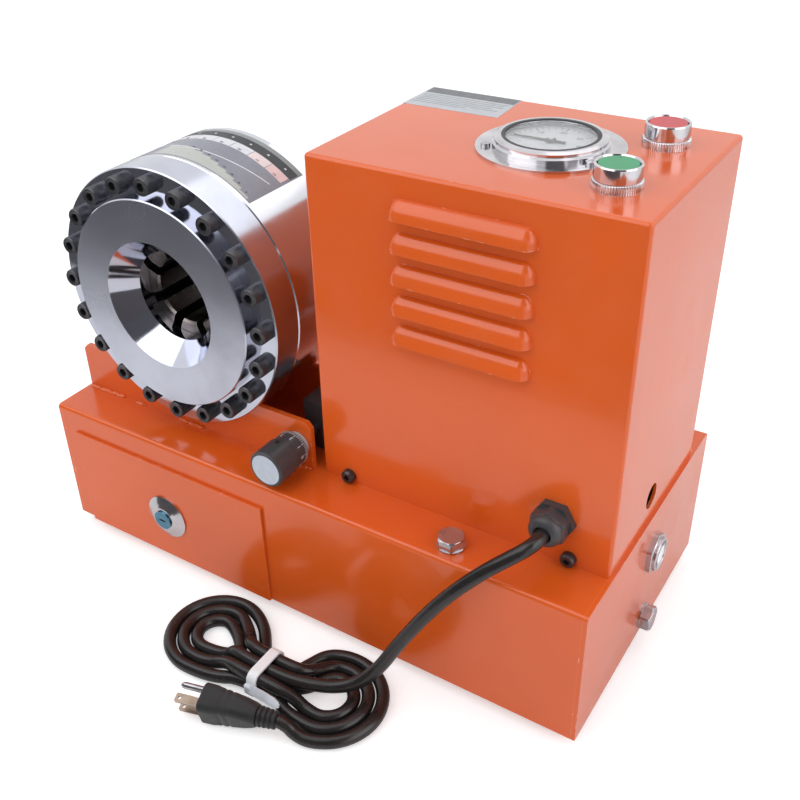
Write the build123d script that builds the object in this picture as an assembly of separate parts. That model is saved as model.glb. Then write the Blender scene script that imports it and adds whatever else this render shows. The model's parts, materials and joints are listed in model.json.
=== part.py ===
from build123d import *
import math
import os

# Electric hydraulic hose crimping machine, one STEP per piece, millimetres.
# Frame: X to the right, Y towards the back, +Z up. The origin lies on the bench,
# under the middle of the base box.

# ---------------------------------------------------------------- driving sizes
# Base box, welded from sheet
base_depth = 222.0
base_height = 108.0
base_sheet = 3.0
base_bend = 3.0
foot_height = 10.0
foot_radius = 12.5
foot_taper = 1.5
foot_inset_x = 22.0
foot_inset_y = 24.0
foot_screw_radius = 2.5
foot_screw_head_radius = 4.5
foot_screw_head_height = 3.0
foot_counterbore_radius = 6.0
foot_counterbore_depth = 5.0

# Drawer
drawer_left = 17.2             # from the base's left side
drawer_front_width = 186.8
drawer_front_height = 88.3
drawer_front_sheet = 2.0
drawer_gap = 0.3
drawer_lap = 8.0               # how far the front laps over its opening
drawer_sheet = 1.2
drawer_side_clearance = 2.0
drawer_depth = 176.0
drawer_rise = 5.0              # tray floor above the base floor
drawer_wall_height = 62.0
runner_leg = 14.0
runner_sheet = 2.0
tank_wall_gap = 12.0           # tank partition, from the drawer front's right edge
lock_x = 107.5                 # lock axis, from the base's left side
lock_z = 41.0                  # lock axis, above the base's bottom edge
lock_bezel_radius = 18.5
lock_bezel_height = 5.0
lock_core_radius = 8.0
lock_core_proud = 1.2
lock_barrel_radius = 10.5
lock_core_clearance = 0.06
lock_cam_sheet = 2.0
lock_cam_width = 14.0
lock_cam_reach = 50.0

# Crimp head, along Y
head_x = 113.7                 # head axis, from the base's left side
head_rise = 110.0              # head axis above the base's top
head_setback = 16.5            # boss face behind the base's front
boss_radius = 78.2
boss_height = 9.1
flange_radius = 97.3
flange_thickness = 24.4
cap_plate = 27.5               # boss face to the face that the dies slide on
funnel_radius = 47.7
funnel_depth = 17.8
throat_radius = 34.1
edge_chamfer = 0.8
cylinder_bore = 80.0
barrel_length = 68.0
barrel_rear_wall = 24.0
cap_screw_count = 20
cap_screw_circle = 87.1
cap_screw_radius = 4.0
cap_screw_head_radius = 6.5
cap_screw_head_height = 8.0
cap_screw_hex = 6.0
cap_screw_hex_depth = 4.0
cap_screw_grip = 12.0          # thread length in the barrel
cap_screw_clearance = 0.3

# Dies and wedge piston
die_count = 8
die_open_radius = 25.0
die_length = 56.0
insert_depth = 12.0
insert_chamfer = 1.5
shoe_front_apothem = 64.0
wedge_angle = 20.0
wedge_clearance = 0.3
die_slide_clearance = 0.3
closed_die_gap = 0.6
piston_stroke = 26.0
piston_setback = 27.0          # piston's front edge at rest, behind the dies' sliding face
piston_head_length = 21.0
piston_radial_clearance = 0.05
tail_radius = 58.0
tail_reach = 30.0              # tail behind the barrel at rest
seal_width = 6.0
seal_depth = 5.0
seal_shy = 0.02

# Saddle plates that carry the head
saddle_left = 1.8
saddle_width = 223.9
saddle_height = 38.8
saddle_sheet = 4.0
saddle_front_setback = 35.0
saddle_rear_setback = 100.0
saddle_rear_width = 205.0
saddle_clearance = 0.15
saddle_corner = 4.0

# Housing
housing_left = 233.7           # from the base's left side, clear of the head
housing_inset = 2.1            # from the base's right side
housing_width = 214.2
housing_setback = 37.7
housing_depth = 152.8
housing_height = 234.8
housing_sheet = 2.0
housing_bend = 2.5
louver_count = 5
louver_left = 61.0             # from the housing's left side
louver_width = 92.0
louver_pitch = 20.3
louver_top_lip = 207.3         # top louver's lip above the base's top
louver_proud = 7.0
louver_height = 12.0
louver_sheet = 1.4
housing_screw_insets = (22.3, 26.9)      # from the housing's left side and right side
housing_screw_z = 5.6
housing_screw_radius = 3.0
housing_screw_head_radius = 5.0
housing_screw_head_height = 5.0
lug_width = 18.0
lug_height = 14.0
lug_depth = 12.0
side_hole_setback = 65.8       # from the housing's front
side_hole_z = 20.3
side_hole_radius = 9.0
pipe_hole_radius = 7.0

# Cable gland
gland_inset = 38.4             # from the housing's right side
gland_z = 32.5                 # above the base's top
gland_hex = 25.0
gland_hex_height = 5.0
gland_nut_hex = 22.5
gland_nut_height = 8.0
gland_dome_height = 6.0
gland_thread_radius = 10.0
gland_thread_length = 12.0
gland_locknut_height = 4.0
cord_diameter = 9.3

# Pressure gauge
gauge_inset = 90.8             # from the housing's right side
gauge_setback = 77.4           # from the housing's front
gauge_flange_radius = 44.2
gauge_flange_sheet = 1.5
gauge_case_radius = 32.0
gauge_case_depth = 26.0
gauge_case_wall = 1.5
gauge_bezel_radius = 34.4
gauge_bezel_height = 8.0
gauge_glass_radius = 28.5
gauge_glass_thickness = 3.0
gauge_dial_radius = 30.0
gauge_dial_sheet = 1.0
gauge_needle_length = 24.0
gauge_needle_tail = 9.0
gauge_needle_width = 2.4
gauge_pivot_radius = 1.5
gauge_screw_circle = 38.0
gauge_screw_count = 3
gauge_stem_radius = 7.0
gauge_stem_length = 16.0

# Push buttons
button_inset = 34.0            # from the housing's right side
start_setback = 37.2
stop_setback = 113.0
button_collar_radius = 13.4
button_collar_height = 14.0
button_cap_radius = 10.9
button_clearance = 0.3
button_recess = 0.6
button_travel = 3.0
button_cap_height = 8.0
button_stem_radius = 4.0
button_block_size = 28.0
button_block_height = 34.0

# Crimp size dial on the saddle, and the limit switch behind it
dial_x = 213.3                 # from the base's left side
dial_rise = 18.7
dial_radius = 13.8
dial_skirt_radius = 12.8
dial_length = 32.0
dial_skirt_length = 12.0
dial_face_radius = 11.6
dial_face_recess = 1.0
dial_bushing_radius = 9.5
dial_bushing_length = 4.7
dial_spindle_radius = 4.0
dial_spindle_reach = 14.0
dial_running_clearance = 0.05
switch_width = 24.0
switch_depth = 28.0
switch_height = 38.0

# Fittings of the oil tank
sight_setback = 118.0
sight_z = 71.0
sight_hex = 32.0
sight_height = 6.0
sight_thread_radius = 12.0
sight_thread_length = 9.0
sight_window_radius = 10.5
sight_window_thickness = 3.0
filler_x = 349.5
filler_setback = 15.2
filler_hex = 17.0
drain_setback = 114.5
drain_z = 14.0
plug_hex_height = 7.0
plug_thread_radius = 6.0
plug_thread_length = 14.0
washer_radius = 9.5
washer_thickness = 1.5

# Motor, pump, valve block and oil line
motor_x = 111.0                # from the housing's left side
motor_setback = 77.0           # from the housing's front
motor_radius = 54.0
motor_fin_depth = 5.0
motor_fin_count = 16
motor_headroom = 78.8          # housing top above the motor
motor_flange_radius = 62.0
motor_flange_height = 8.0
shaft_radius = 8.0
shaft_clearance = 0.05
pump_radius = 38.0
pump_height = 55.0
fan_radius = 48.0
fan_height = 12.0
fan_blades = 7
fan_gap = 4.0
valve_width = 38.0
valve_depth = 56.0
valve_height = 60.0
valve_inset = 8.0
pipe_radius = 5.0
pipe_port_angle = -35.0
pipe_port_circle = 69.0
pipe_nut_radius = 9.0
pipe_nut_length = 12.0
pipe_bend = 18.0
gauge_line_radius = 3.0
gauge_line_drop = 11.0
gauge_line_bend = 8.0

# ---------------------------------------------------------------- datum planes
base_width = housing_left + housing_width + housing_inset
left = -base_width / 2
right = base_width / 2
front = -base_depth / 2
back = base_depth / 2
base_bottom = foot_height
base_top = base_bottom + base_height
head_axis_x = left + head_x
head_axis_z = base_top + head_rise
boss_y = front + head_setback
flange_y = boss_y + boss_height
joint_y = flange_y + flange_thickness
barrel_rear_y = joint_y + barrel_length
rear_wall_y = barrel_rear_y - barrel_rear_wall
die_face_y = boss_y + cap_plate
wedge_ratio = math.tan(math.radians(wedge_angle))
die_travel = piston_stroke * wedge_ratio
half_sector = math.pi / die_count
open_die_gap = closed_die_gap + 2 * die_travel * math.sin(half_sector)
housing_x1 = right - housing_inset
housing_x0 = housing_x1 - housing_width
housing_y0 = front + housing_setback
housing_y1 = housing_y0 + housing_depth
housing_top = base_top + housing_height
gauge_at = (housing_x1 - gauge_inset, housing_y0 + gauge_setback)
motor_at = (housing_x0 + motor_x, housing_y0 + motor_setback)
gland_at = (housing_x1 - gland_inset, base_top + gland_z)
dial_at = (left + dial_x, base_top + dial_rise)
lock_at = (left + lock_x, base_bottom + lock_z)
motor_height = housing_height - motor_headroom
bore_gap = 0.1                 # radial gap of a shank in its plain hole

os.makedirs("parts", exist_ok=True)


# ---------------------------------------------------------------- helpers
def save(name, *solids):
    """Write one piece, or a group of like pieces, as a STEP file."""
    shape = solids[0] if len(solids) == 1 else Compound(children=list(solids))
    shape.label = name
    export_step(shape, os.path.join("parts", name + ".step"))


def block(x0, x1, y0, y1, z0, z1):
    """A box between two corners."""
    size = Box(x1 - x0, y1 - y0, z1 - z0)
    return Pos((x0 + x1) / 2, (y0 + y1) / 2, (z0 + z1) / 2) * size


def rod_x(y, z, x0, x1, radius):
    """A cylinder along X."""
    return Pos((x0 + x1) / 2, y, z) * Rot(0, 90, 0) * Cylinder(radius, abs(x1 - x0))


def rod_y(x, z, y0, y1, radius):
    """A cylinder along Y."""
    return Pos(x, (y0 + y1) / 2, z) * Rot(90, 0, 0) * Cylinder(radius, abs(y1 - y0))


def rod_z(x, y, z0, z1, radius):
    """A cylinder along Z."""
    return Pos(x, y, (z0 + z1) / 2) * Cylinder(radius, abs(z1 - z0))


def hex_prism(across_flats, height):
    """A hexagon standing on the XY plane."""
    return extrude(RegularPolygon(across_flats / 2, 6, major_radius=False), height)


def toward(direction):
    """Turn a shape that stands on +Z to stand on the named axis."""
    turns = {"+z": Rot(0, 0, 0), "-y": Rot(90, 0, 0), "+x": Rot(0, 90, 0)}
    return turns[direction]


def turned_y(x, z, points):
    """Revolve a closed outline of (y, radius) points about an axis along Y."""
    outline = Polyline([(radius, y) for y, radius in points], close=True)
    ring = revolve(make_face(outline), Axis.Y, 360)
    return Pos(x, 0, z) * ring


def turned_z(x, y, points):
    """Revolve a closed outline of (z, radius) points about an axis along Z."""
    outline = Polyline([(radius, 0, z) for z, radius in points], close=True)
    ring = revolve(make_face(outline), Axis.Z, 360)
    return Pos(x, y, 0) * ring


def around_head(radius, angle):
    """A point (x, z) on a circle about the head's axis."""
    turn = math.radians(angle)
    return head_axis_x + radius * math.cos(turn), head_axis_z + radius * math.sin(turn)


# ---------------------------------------------------------------- base box
opening_x0 = left + drawer_left + drawer_lap
opening_x1 = opening_x0 + drawer_front_width - 2 * drawer_lap
opening_z0 = base_bottom + base_sheet
opening_z1 = base_bottom + drawer_front_height - drawer_lap / 2
filler_at = (left + filler_x, front + filler_setback)
tank_x0 = left + drawer_left + drawer_front_width + tank_wall_gap


def make_base_cover():
    """Front, top and back of the base, one folded sheet between the two side plates."""
    x0 = left + base_sheet
    x1 = right - base_sheet
    outer = block(x0, x1, front, back, base_bottom, base_top)
    folds = outer.edges().filter_by(Axis.X).group_by(Axis.Z)[-1]
    outer = fillet(folds, base_bend)
    inner = block(x0, x1, front + base_sheet, back - base_sheet, base_bottom, base_top - base_sheet)
    cover = outer - inner
    cover -= block(opening_x0, opening_x1, front - 1, front + base_sheet + 1, opening_z0, opening_z1)
    cover -= rod_z(*filler_at, base_top - base_sheet - 1, base_top + 1, plug_thread_radius + bore_gap)
    cover -= rod_z(*motor_at, base_top - base_sheet - 1, base_top + 1, motor_flange_radius / 2)
    return cover


def make_base_floor():
    """Floor plate inside the cover, with the foot screws' holes."""
    floor = block(left + base_sheet, right - base_sheet, front + base_sheet, back - base_sheet,
                  base_bottom, base_bottom + base_sheet)
    for x, y in foot_places():
        floor -= rod_z(x, y, base_bottom - 1, base_bottom + base_sheet + 1, foot_screw_radius + bore_gap)
    return floor


def make_side(x0, x1):
    """One end plate of the base, with its top corners rounded as the cover's folds."""
    plate = block(x0, x1, front, back, base_bottom, base_top)
    corners = plate.edges().filter_by(Axis.X).group_by(Axis.Z)[-1]
    return fillet(corners, base_bend)


def foot_places():
    """Centres of the four feet."""
    x = base_width / 2 - foot_inset_x
    y = base_depth / 2 - foot_inset_y
    return [(-x, -y), (x, -y), (x, y), (-x, y)]


sight_at = (front + sight_setback, base_bottom + sight_z)
drain_at = (front + drain_setback, base_bottom + drain_z)
side_right = make_side(right - base_sheet, right)
side_right -= rod_x(*sight_at, right - base_sheet - 1, right + 1, sight_thread_radius + bore_gap)
side_right -= rod_x(*drain_at, right - base_sheet - 1, right + 1, plug_thread_radius + bore_gap)
save("base_cover", make_base_cover())
save("base_side_left", make_side(left, left + base_sheet))
save("base_side_right", side_right)
save("base_floor", make_base_floor())
save("tank_wall", block(tank_x0, tank_x0 + base_sheet, front + base_sheet, back - base_sheet,
                        base_bottom + base_sheet, base_top - base_sheet))


# ---------------------------------------------------------------- feet
def make_foot(x, y):
    """A tapered rubber foot with a counterbored hole for its screw."""
    outline = [(0, foot_screw_radius + bore_gap), (0, foot_radius - foot_taper),
               (foot_height, foot_radius), (foot_height, foot_screw_radius + bore_gap)]
    foot = turned_z(x, y, outline)
    return foot - rod_z(x, y, -1, foot_counterbore_depth, foot_counterbore_radius)


def make_foot_screw(x, y):
    """Pan-head screw that holds a foot to the floor plate."""
    head_top = foot_counterbore_depth
    head = rod_z(x, y, head_top - foot_screw_head_height, head_top, foot_screw_head_radius)
    shank_end = base_bottom + 2 * base_sheet
    return head + rod_z(x, y, head_top, shank_end, foot_screw_radius)


save("rubber_feet", *[make_foot(x, y) for x, y in foot_places()])
save("foot_screws", *[make_foot_screw(x, y) for x, y in foot_places()])

# ---------------------------------------------------------------- drawer
tray_x0 = opening_x0 + drawer_side_clearance
tray_x1 = opening_x1 - drawer_side_clearance
tray_y0 = front - drawer_gap
tray_z0 = base_bottom + base_sheet + drawer_rise
tray_z1 = tray_z0 + drawer_wall_height
front_plate_y = front - drawer_gap - drawer_front_sheet
cam_y = front + base_sheet + drawer_gap


def make_tray():
    """Open sheet tray."""
    tray = block(tray_x0, tray_x1, tray_y0, tray_y0 + drawer_depth, tray_z0, tray_z1)
    tray -= block(tray_x0 + drawer_sheet, tray_x1 - drawer_sheet, tray_y0 + drawer_sheet,
                  tray_y0 + drawer_depth - drawer_sheet, tray_z0 + drawer_sheet, tray_z1 + 1)
    return tray - rod_y(*lock_at, tray_y0 - 1, tray_y0 + 2 * drawer_sheet, lock_barrel_radius)


def make_drawer_front():
    """Plain front plate, bored for the lock."""
    x0 = left + drawer_left
    plate = block(x0, x0 + drawer_front_width, front_plate_y, tray_y0,
                  base_bottom, base_bottom + drawer_front_height)
    return plate - rod_y(*lock_at, front_plate_y - 1, tray_y0 + 1, lock_barrel_radius)


def make_lock_bezel():
    """Domed escutcheon with the lock's barrel behind it."""
    bore = lock_core_radius + lock_core_clearance
    rim = 1.2
    outline = [(front_plate_y, lock_bezel_radius), (front_plate_y - rim, lock_bezel_radius),
               (front_plate_y - 0.75 * lock_bezel_height, 0.72 * lock_bezel_radius),
               (front_plate_y - lock_bezel_height, lock_barrel_radius),
               (front_plate_y - lock_bezel_height, bore),
               (cam_y - drawer_gap, bore), (cam_y - drawer_gap, lock_barrel_radius),
               (front_plate_y, lock_barrel_radius)]
    return turned_y(*lock_at, outline)


def make_lock_core():
    """Key core: a plug with a key slot, which carries the cam."""
    face = front_plate_y - lock_bezel_height - lock_core_proud
    core = rod_y(*lock_at, face, cam_y, lock_core_radius)
    x, z = lock_at
    slot = block(x - 3.2, x + 3.2, face - 1, face + 3, z - 0.8, z + 0.8)
    return core - slot


def make_lock_cam():
    """Latch blade. It lies level while the drawer is free and turns up behind the front panel."""
    x, z = lock_at
    blade = block(x, x + lock_cam_reach, cam_y, cam_y + lock_cam_sheet,
                  z - lock_cam_width / 2, z + lock_cam_width / 2)
    return blade + rod_y(x, z, cam_y, cam_y + lock_cam_sheet, lock_core_radius)


def make_runner(side):
    """Angle runner from the front sheet to the back sheet. side is -1 left, +1 right."""
    wall = tray_x0 if side < 0 else tray_x1
    inner = wall + side * drawer_gap
    outer = inner + side * runner_sheet
    toe = wall - side * runner_leg
    floor_z = tray_z0 - drawer_gap
    y0 = front + base_sheet
    y1 = back - base_sheet
    upright = block(min(inner, outer), max(inner, outer), y0, y1,
                    base_bottom + base_sheet, floor_z + runner_leg)
    shelf = block(min(toe, outer), max(toe, outer), y0, y1, floor_z - runner_sheet, floor_z)
    return upright + shelf


save("drawer_runners", make_runner(-1), make_runner(1))
save("drawer_tray", make_tray())
save("drawer_front", make_drawer_front())
save("lock_bezel", make_lock_bezel())
save("lock_core", make_lock_core())
save("lock_cam", make_lock_cam())


# ---------------------------------------------------------------- saddle plates
def make_saddle(setback, width):
    """Upright plate, cut to the head's round, welded on the base."""
    y0 = front + setback
    x0 = left + saddle_left
    plate = block(x0, x0 + width, y0, y0 + saddle_sheet, base_top, base_top + saddle_height)
    corners = plate.edges().filter_by(Axis.Y).group_by(Axis.Z)[-1]
    plate = chamfer(corners, saddle_corner)
    return plate - rod_y(head_axis_x, head_axis_z, y0 - 1, y0 + saddle_sheet + 1,
                         flange_radius + saddle_clearance)


saddle_front = make_saddle(saddle_front_setback, saddle_width)
saddle_y1 = front + saddle_front_setback + saddle_sheet
saddle_front -= rod_y(*dial_at, saddle_y1 - saddle_sheet - 1, saddle_y1 + 1,
                      dial_spindle_radius + dial_running_clearance)
save("saddle_front", saddle_front)
save("saddle_rear", make_saddle(saddle_rear_setback, saddle_rear_width))


# ---------------------------------------------------------------- crimp head
def screw_places():
    """Centres of the cap screws on their circle."""
    step = 360 / cap_screw_count
    return [around_head(cap_screw_circle, step * i) for i in range(cap_screw_count)]


def make_front_cap():
    """Bolted end cap: flange, raised boss, polished funnel and throat."""
    outline = [(boss_y, funnel_radius), (boss_y, boss_radius - edge_chamfer),
               (boss_y + edge_chamfer, boss_radius), (flange_y, boss_radius),
               (flange_y, flange_radius - edge_chamfer), (flange_y + edge_chamfer, flange_radius),
               (joint_y - edge_chamfer, flange_radius), (joint_y, flange_radius - edge_chamfer),
               (joint_y, cylinder_bore), (die_face_y, cylinder_bore),
               (die_face_y, throat_radius), (boss_y + funnel_depth, throat_radius)]
    cap = turned_y(head_axis_x, head_axis_z, outline)
    for x, z in screw_places():
        cap -= rod_y(x, z, flange_y - 1, joint_y + 1, cap_screw_radius + cap_screw_clearance)
    return cap


def make_barrel():
    """Cylinder barrel with its rear wall, bored for the piston's tail and tapped all round."""
    tail_bore = tail_radius + piston_radial_clearance
    outline = [(joint_y, cylinder_bore), (joint_y, flange_radius - edge_chamfer),
               (joint_y + edge_chamfer, flange_radius),
               (barrel_rear_y - 2 * edge_chamfer, flange_radius),
               (barrel_rear_y, flange_radius - 2 * edge_chamfer), (barrel_rear_y, tail_bore),
               (rear_wall_y, tail_bore), (rear_wall_y, cylinder_bore)]
    barrel = turned_y(head_axis_x, head_axis_z, outline)
    for x, z in screw_places():
        barrel -= rod_y(x, z, joint_y - 1, joint_y + cap_screw_grip + 1, cap_screw_radius + bore_gap)
    port_x, port_z = around_head(pipe_port_circle, pipe_port_angle)
    return barrel - rod_y(port_x, port_z, rear_wall_y - 1, barrel_rear_y + 1, pipe_radius)


def make_cap_screw(x, z):
    """Socket-head cap screw."""
    head = rod_y(x, z, flange_y - cap_screw_head_height, flange_y, cap_screw_head_radius)
    shank = rod_y(x, z, flange_y, joint_y + cap_screw_grip, cap_screw_radius)
    socket = Pos(x, flange_y - cap_screw_head_height + cap_screw_hex_depth, z) * toward("-y")
    return head + shank - socket * hex_prism(cap_screw_hex, cap_screw_hex_depth + 1)


save("front_cap", make_front_cap())
save("barrel", make_barrel())
save("cap_screws", *[make_cap_screw(x, z) for x, z in screw_places()])

# ---------------------------------------------------------------- dies and piston
shoe_y0 = die_face_y + die_slide_clearance
shoe_y1 = shoe_y0 + die_length
seat_radius = die_open_radius + insert_depth


def wedge_apothem(y):
    """Distance of the shoes' outer flats from the head's axis, at rest."""
    return shoe_front_apothem - (y - shoe_y0) * wedge_ratio


def sector(inner, outer, y0, y1):
    """A die sector about the head's axis, pointing along +X, with half a gap off each flank."""
    def half_width(radius):
        return radius * math.tan(half_sector) - open_die_gap / 2 / math.cos(half_sector)

    corners = [(inner, -half_width(inner)), (outer, -half_width(outer)),
               (outer, half_width(outer)), (inner, half_width(inner))]
    profile = make_face(Polyline(corners, close=True))
    prism = extrude(profile, y1 - y0)
    return Pos(0, y1, 0) * Rot(90, 0, 0) * prism


def make_die():
    """A die shoe and its insert, pointing along +X from the head's axis."""
    shoe = sector(seat_radius, shoe_front_apothem, shoe_y0, shoe_y1)
    top = 2 * shoe_front_apothem
    reach = 2 * flange_radius
    over = Polyline([(wedge_apothem(shoe_y0), shoe_y0), (wedge_apothem(shoe_y1 + 1), shoe_y1 + 1),
                     (top, shoe_y1 + 1), (top, shoe_y0)], close=True)
    shoe -= Pos(0, 0, -reach / 2) * extrude(make_face(over), reach)
    nose = insert_chamfer
    start = die_open_radius * math.cos(half_sector) - 2
    insert = sector(start, seat_radius, shoe_y0, shoe_y1)
    bore = [(shoe_y0 - 1, 0), (shoe_y0 - 1, die_open_radius + nose + 1),
            (shoe_y0 + nose, die_open_radius), (shoe_y1 - nose, die_open_radius),
            (shoe_y1 + 1, die_open_radius + nose + 1), (shoe_y1 + 1, 0)]
    insert -= turned_y(0, 0, bore)
    return shoe, insert


def die_angle(number):
    """Direction of a die about the head's axis, in degrees from +X towards +Z."""
    return 360 / die_count * number


shoe, insert = make_die()
for number in range(die_count):
    place = Pos(head_axis_x, 0, head_axis_z) * Rot(0, -die_angle(number), 0)
    save(f"die_{number + 1}", place * shoe, place * insert)


def make_piston():
    """Ring piston: head, tail and an eight-sided wedge bore that drives the dies inward."""
    front_y = die_face_y + piston_setback
    head_y1 = front_y + piston_head_length
    tail_y1 = barrel_rear_y + tail_reach
    radius = cylinder_bore - piston_radial_clearance
    groove_y = front_y + (piston_head_length - seal_width) / 2
    outline = [(front_y, throat_radius), (front_y, radius - edge_chamfer),
               (front_y + edge_chamfer, radius), (groove_y, radius),
               (groove_y, radius - seal_depth), (groove_y + seal_width, radius - seal_depth),
               (groove_y + seal_width, radius), (head_y1, radius), (head_y1, tail_radius),
               (tail_y1 - edge_chamfer, tail_radius), (tail_y1, tail_radius - edge_chamfer),
               (tail_y1, throat_radius)]
    body = turned_y(head_axis_x, head_axis_z, outline)
    end_y = shoe_y0 + (shoe_front_apothem + wedge_clearance - throat_radius) / wedge_ratio
    sections = []
    for y in (front_y - 1, end_y):
        flats = wedge_apothem(y) + wedge_clearance
        ring = RegularPolygon(flats, die_count, major_radius=False)
        turn = Rot(0, 180 / die_count, 0) * Rot(90, 0, 0)
        sections.append(Pos(head_axis_x, y, head_axis_z) * turn * ring)
    body -= loft(sections)
    seal = turned_y(head_axis_x, head_axis_z,
                    [(groove_y, radius - seal_depth), (groove_y, radius - seal_shy + 0.03),
                     (groove_y + seal_width, radius - seal_shy + 0.03),
                     (groove_y + seal_width, radius - seal_depth)])
    return body, seal


piston, piston_seal = make_piston()
save("piston", piston)
save("piston_seal", piston_seal)

# ---------------------------------------------------------------- housing
screw_row_z = base_top + housing_screw_z
screw_columns = (housing_x0 + housing_screw_insets[0], housing_x1 - housing_screw_insets[1])
pipe_z = around_head(pipe_port_circle, pipe_port_angle)[1]
pipe_y = barrel_rear_y + pipe_nut_length + pipe_bend


def bulge(proud, height, reach):
    """A louver's form, lip at z 0 and wall at y 0: a swept quarter ellipse with turned ends."""
    root = housing_sheet / 2
    profile = Ellipse(proud, height) & Pos(proud / 2, height / 2) * Rectangle(proud, height)
    profile += Pos(-root / 2, height / 2) * Rectangle(root, height)
    near = Plane(origin=(proud, 0, 0), x_dir=(0, -1, 0), z_dir=(-1, 0, 0)) * profile
    far = Pos(reach - 2 * proud, 0, 0) * near
    middle = extrude(near, reach - 2 * proud, dir=(1, 0, 0))
    near_end = revolve(near, Axis((proud, root, 0), (0, 0, 1)), -90)
    far_end = revolve(far, Axis((reach - proud, root, 0), (0, 0, 1)), 90)
    return middle + near_end + far_end


def make_housing():
    """Folded sheet cover, open below, with pressed louvers."""
    outer = block(housing_x0, housing_x1, housing_y0, housing_y1, base_top, housing_top)
    sides = outer.edges().filter_by(Axis.Z)
    tops = outer.edges().group_by(Axis.Z)[-1]
    outer = fillet(sides + tops, housing_bend)
    s = housing_sheet
    shell = outer - block(housing_x0 + s, housing_x1 - s, housing_y0 + s, housing_y1 - s,
                          base_top - 1, housing_top - s)
    lip_x = housing_x0 + louver_left
    for row in range(louver_count):
        lip_z = base_top + louver_top_lip - row * louver_pitch
        shell += Pos(lip_x, housing_y0, lip_z) * bulge(louver_proud, louver_height, louver_width)
        inside = bulge(louver_proud - louver_sheet, louver_height - louver_sheet,
                       louver_width - 2 * louver_sheet)
        slot = block(louver_proud, louver_width - louver_proud, 0, s + 1,
                     0, louver_height - louver_sheet)
        shell -= Pos(lip_x, housing_y0, lip_z) * (Pos(louver_sheet, 0, 0) * inside + slot)
    return shell


def bore_housing(shell):
    """Holes for the gauge, the buttons, the gland, the side cable, the oil line and the screws."""
    top0 = housing_top - housing_sheet - 1
    shell -= rod_z(*gauge_at, top0, housing_top + 1, gauge_case_radius + bore_gap)
    for setback in (start_setback, stop_setback):
        shell -= rod_z(housing_x1 - button_inset, housing_y0 + setback, top0, housing_top + 1,
                       button_cap_radius)
    shell -= rod_y(*gland_at, housing_y0 - 1, housing_y0 + housing_sheet + 1,
                   gland_thread_radius + bore_gap)
    shell -= rod_x(housing_y0 + side_hole_setback, base_top + side_hole_z,
                   housing_x1 - housing_sheet - 1, housing_x1 + 1, side_hole_radius)
    shell -= rod_x(pipe_y, pipe_z, housing_x0 - 1, housing_x0 + housing_sheet + 1, pipe_hole_radius)
    for x in screw_columns:
        shell -= rod_y(x, screw_row_z, housing_y0 - 1, housing_y1 + 1,
                       housing_screw_radius + bore_gap)
    return shell


def split_housing(shell):
    """The cover's five sheets, welded along the folds: front, back, left, right and top."""
    s = housing_sheet
    x0, x1, y0, y1 = housing_x0, housing_x1, housing_y0, housing_y1
    z0, z1 = base_top, housing_top
    walls = [block(x0, x1, y0 - louver_proud, y0 + s, z0, z1), block(x0, x1, y1 - s, y1, z0, z1),
             block(x0, x0 + s, y0 + s, y1 - s, z0, z1), block(x1 - s, x1, y0 + s, y1 - s, z0, z1),
             block(x0 + s, x1 - s, y0 + s, y1 - s, z1 - s, z1)]
    return [shell & wall for wall in walls]


def make_lug(x, y0, y1):
    """Threaded lug, welded on the base top behind a housing screw."""
    lug = block(x - lug_width / 2, x + lug_width / 2, y0, y1, base_top, base_top + lug_height)
    return lug - rod_y(x, screw_row_z, y0 - 1, y1 + 1, housing_screw_radius + bore_gap)


def make_housing_screw(x, face_y, outward):
    """Socket button screw through the housing's foot. outward is -1 at the front, +1 at the back."""
    head_end = face_y + outward * housing_screw_head_height
    shank_end = face_y - outward * (housing_sheet + lug_depth)
    head = rod_y(x, screw_row_z, min(face_y, head_end), max(face_y, head_end), housing_screw_head_radius)
    rim = head.edges().filter_by(GeomType.CIRCLE).sort_by(Axis.Y)
    head = chamfer(rim[0] if outward < 0 else rim[-1], 1.2)
    shank = rod_y(x, screw_row_z, min(face_y, shank_end), max(face_y, shank_end), housing_screw_radius)
    socket = rod_y(x, screw_row_z, min(head_end, head_end - outward * 2.5),
                   max(head_end, head_end - outward * 2.5), 2.0)
    return head + shank - socket


lugs = []
screws = []
for screw_x in screw_columns:
    inner_y0 = housing_y0 + housing_sheet
    inner_y1 = housing_y1 - housing_sheet
    lugs.append(make_lug(screw_x, inner_y0, inner_y0 + lug_depth))
    lugs.append(make_lug(screw_x, inner_y1 - lug_depth, inner_y1))
    screws.append(make_housing_screw(screw_x, housing_y0, -1))
    screws.append(make_housing_screw(screw_x, housing_y1, 1))
save("housing_shell", *split_housing(bore_housing(make_housing())))
save("housing_lugs", *lugs)
save("housing_screws", *screws)

# ---------------------------------------------------------------- cable gland
gland_bore = cord_diameter / 2 + bore_gap
gland_nut_y = housing_y0 - gland_hex_height
gland_face_y = gland_nut_y - gland_nut_height - gland_dome_height


def make_gland_body():
    """Hexagon and thread of the gland, with the locknut inside the housing."""
    x, z = gland_at
    hexagon = Pos(x, housing_y0, z) * toward("-y") * hex_prism(gland_hex, gland_hex_height)
    thread = rod_y(x, z, housing_y0, housing_y0 + gland_thread_length, gland_thread_radius)
    nut_y = housing_y0 + housing_sheet + gland_locknut_height
    locknut = Pos(x, nut_y, z) * toward("-y") * hex_prism(gland_hex, gland_locknut_height)
    body = hexagon + thread + locknut
    return body - rod_y(x, z, gland_nut_y - 1, housing_y0 + gland_thread_length + 1, gland_bore)


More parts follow.
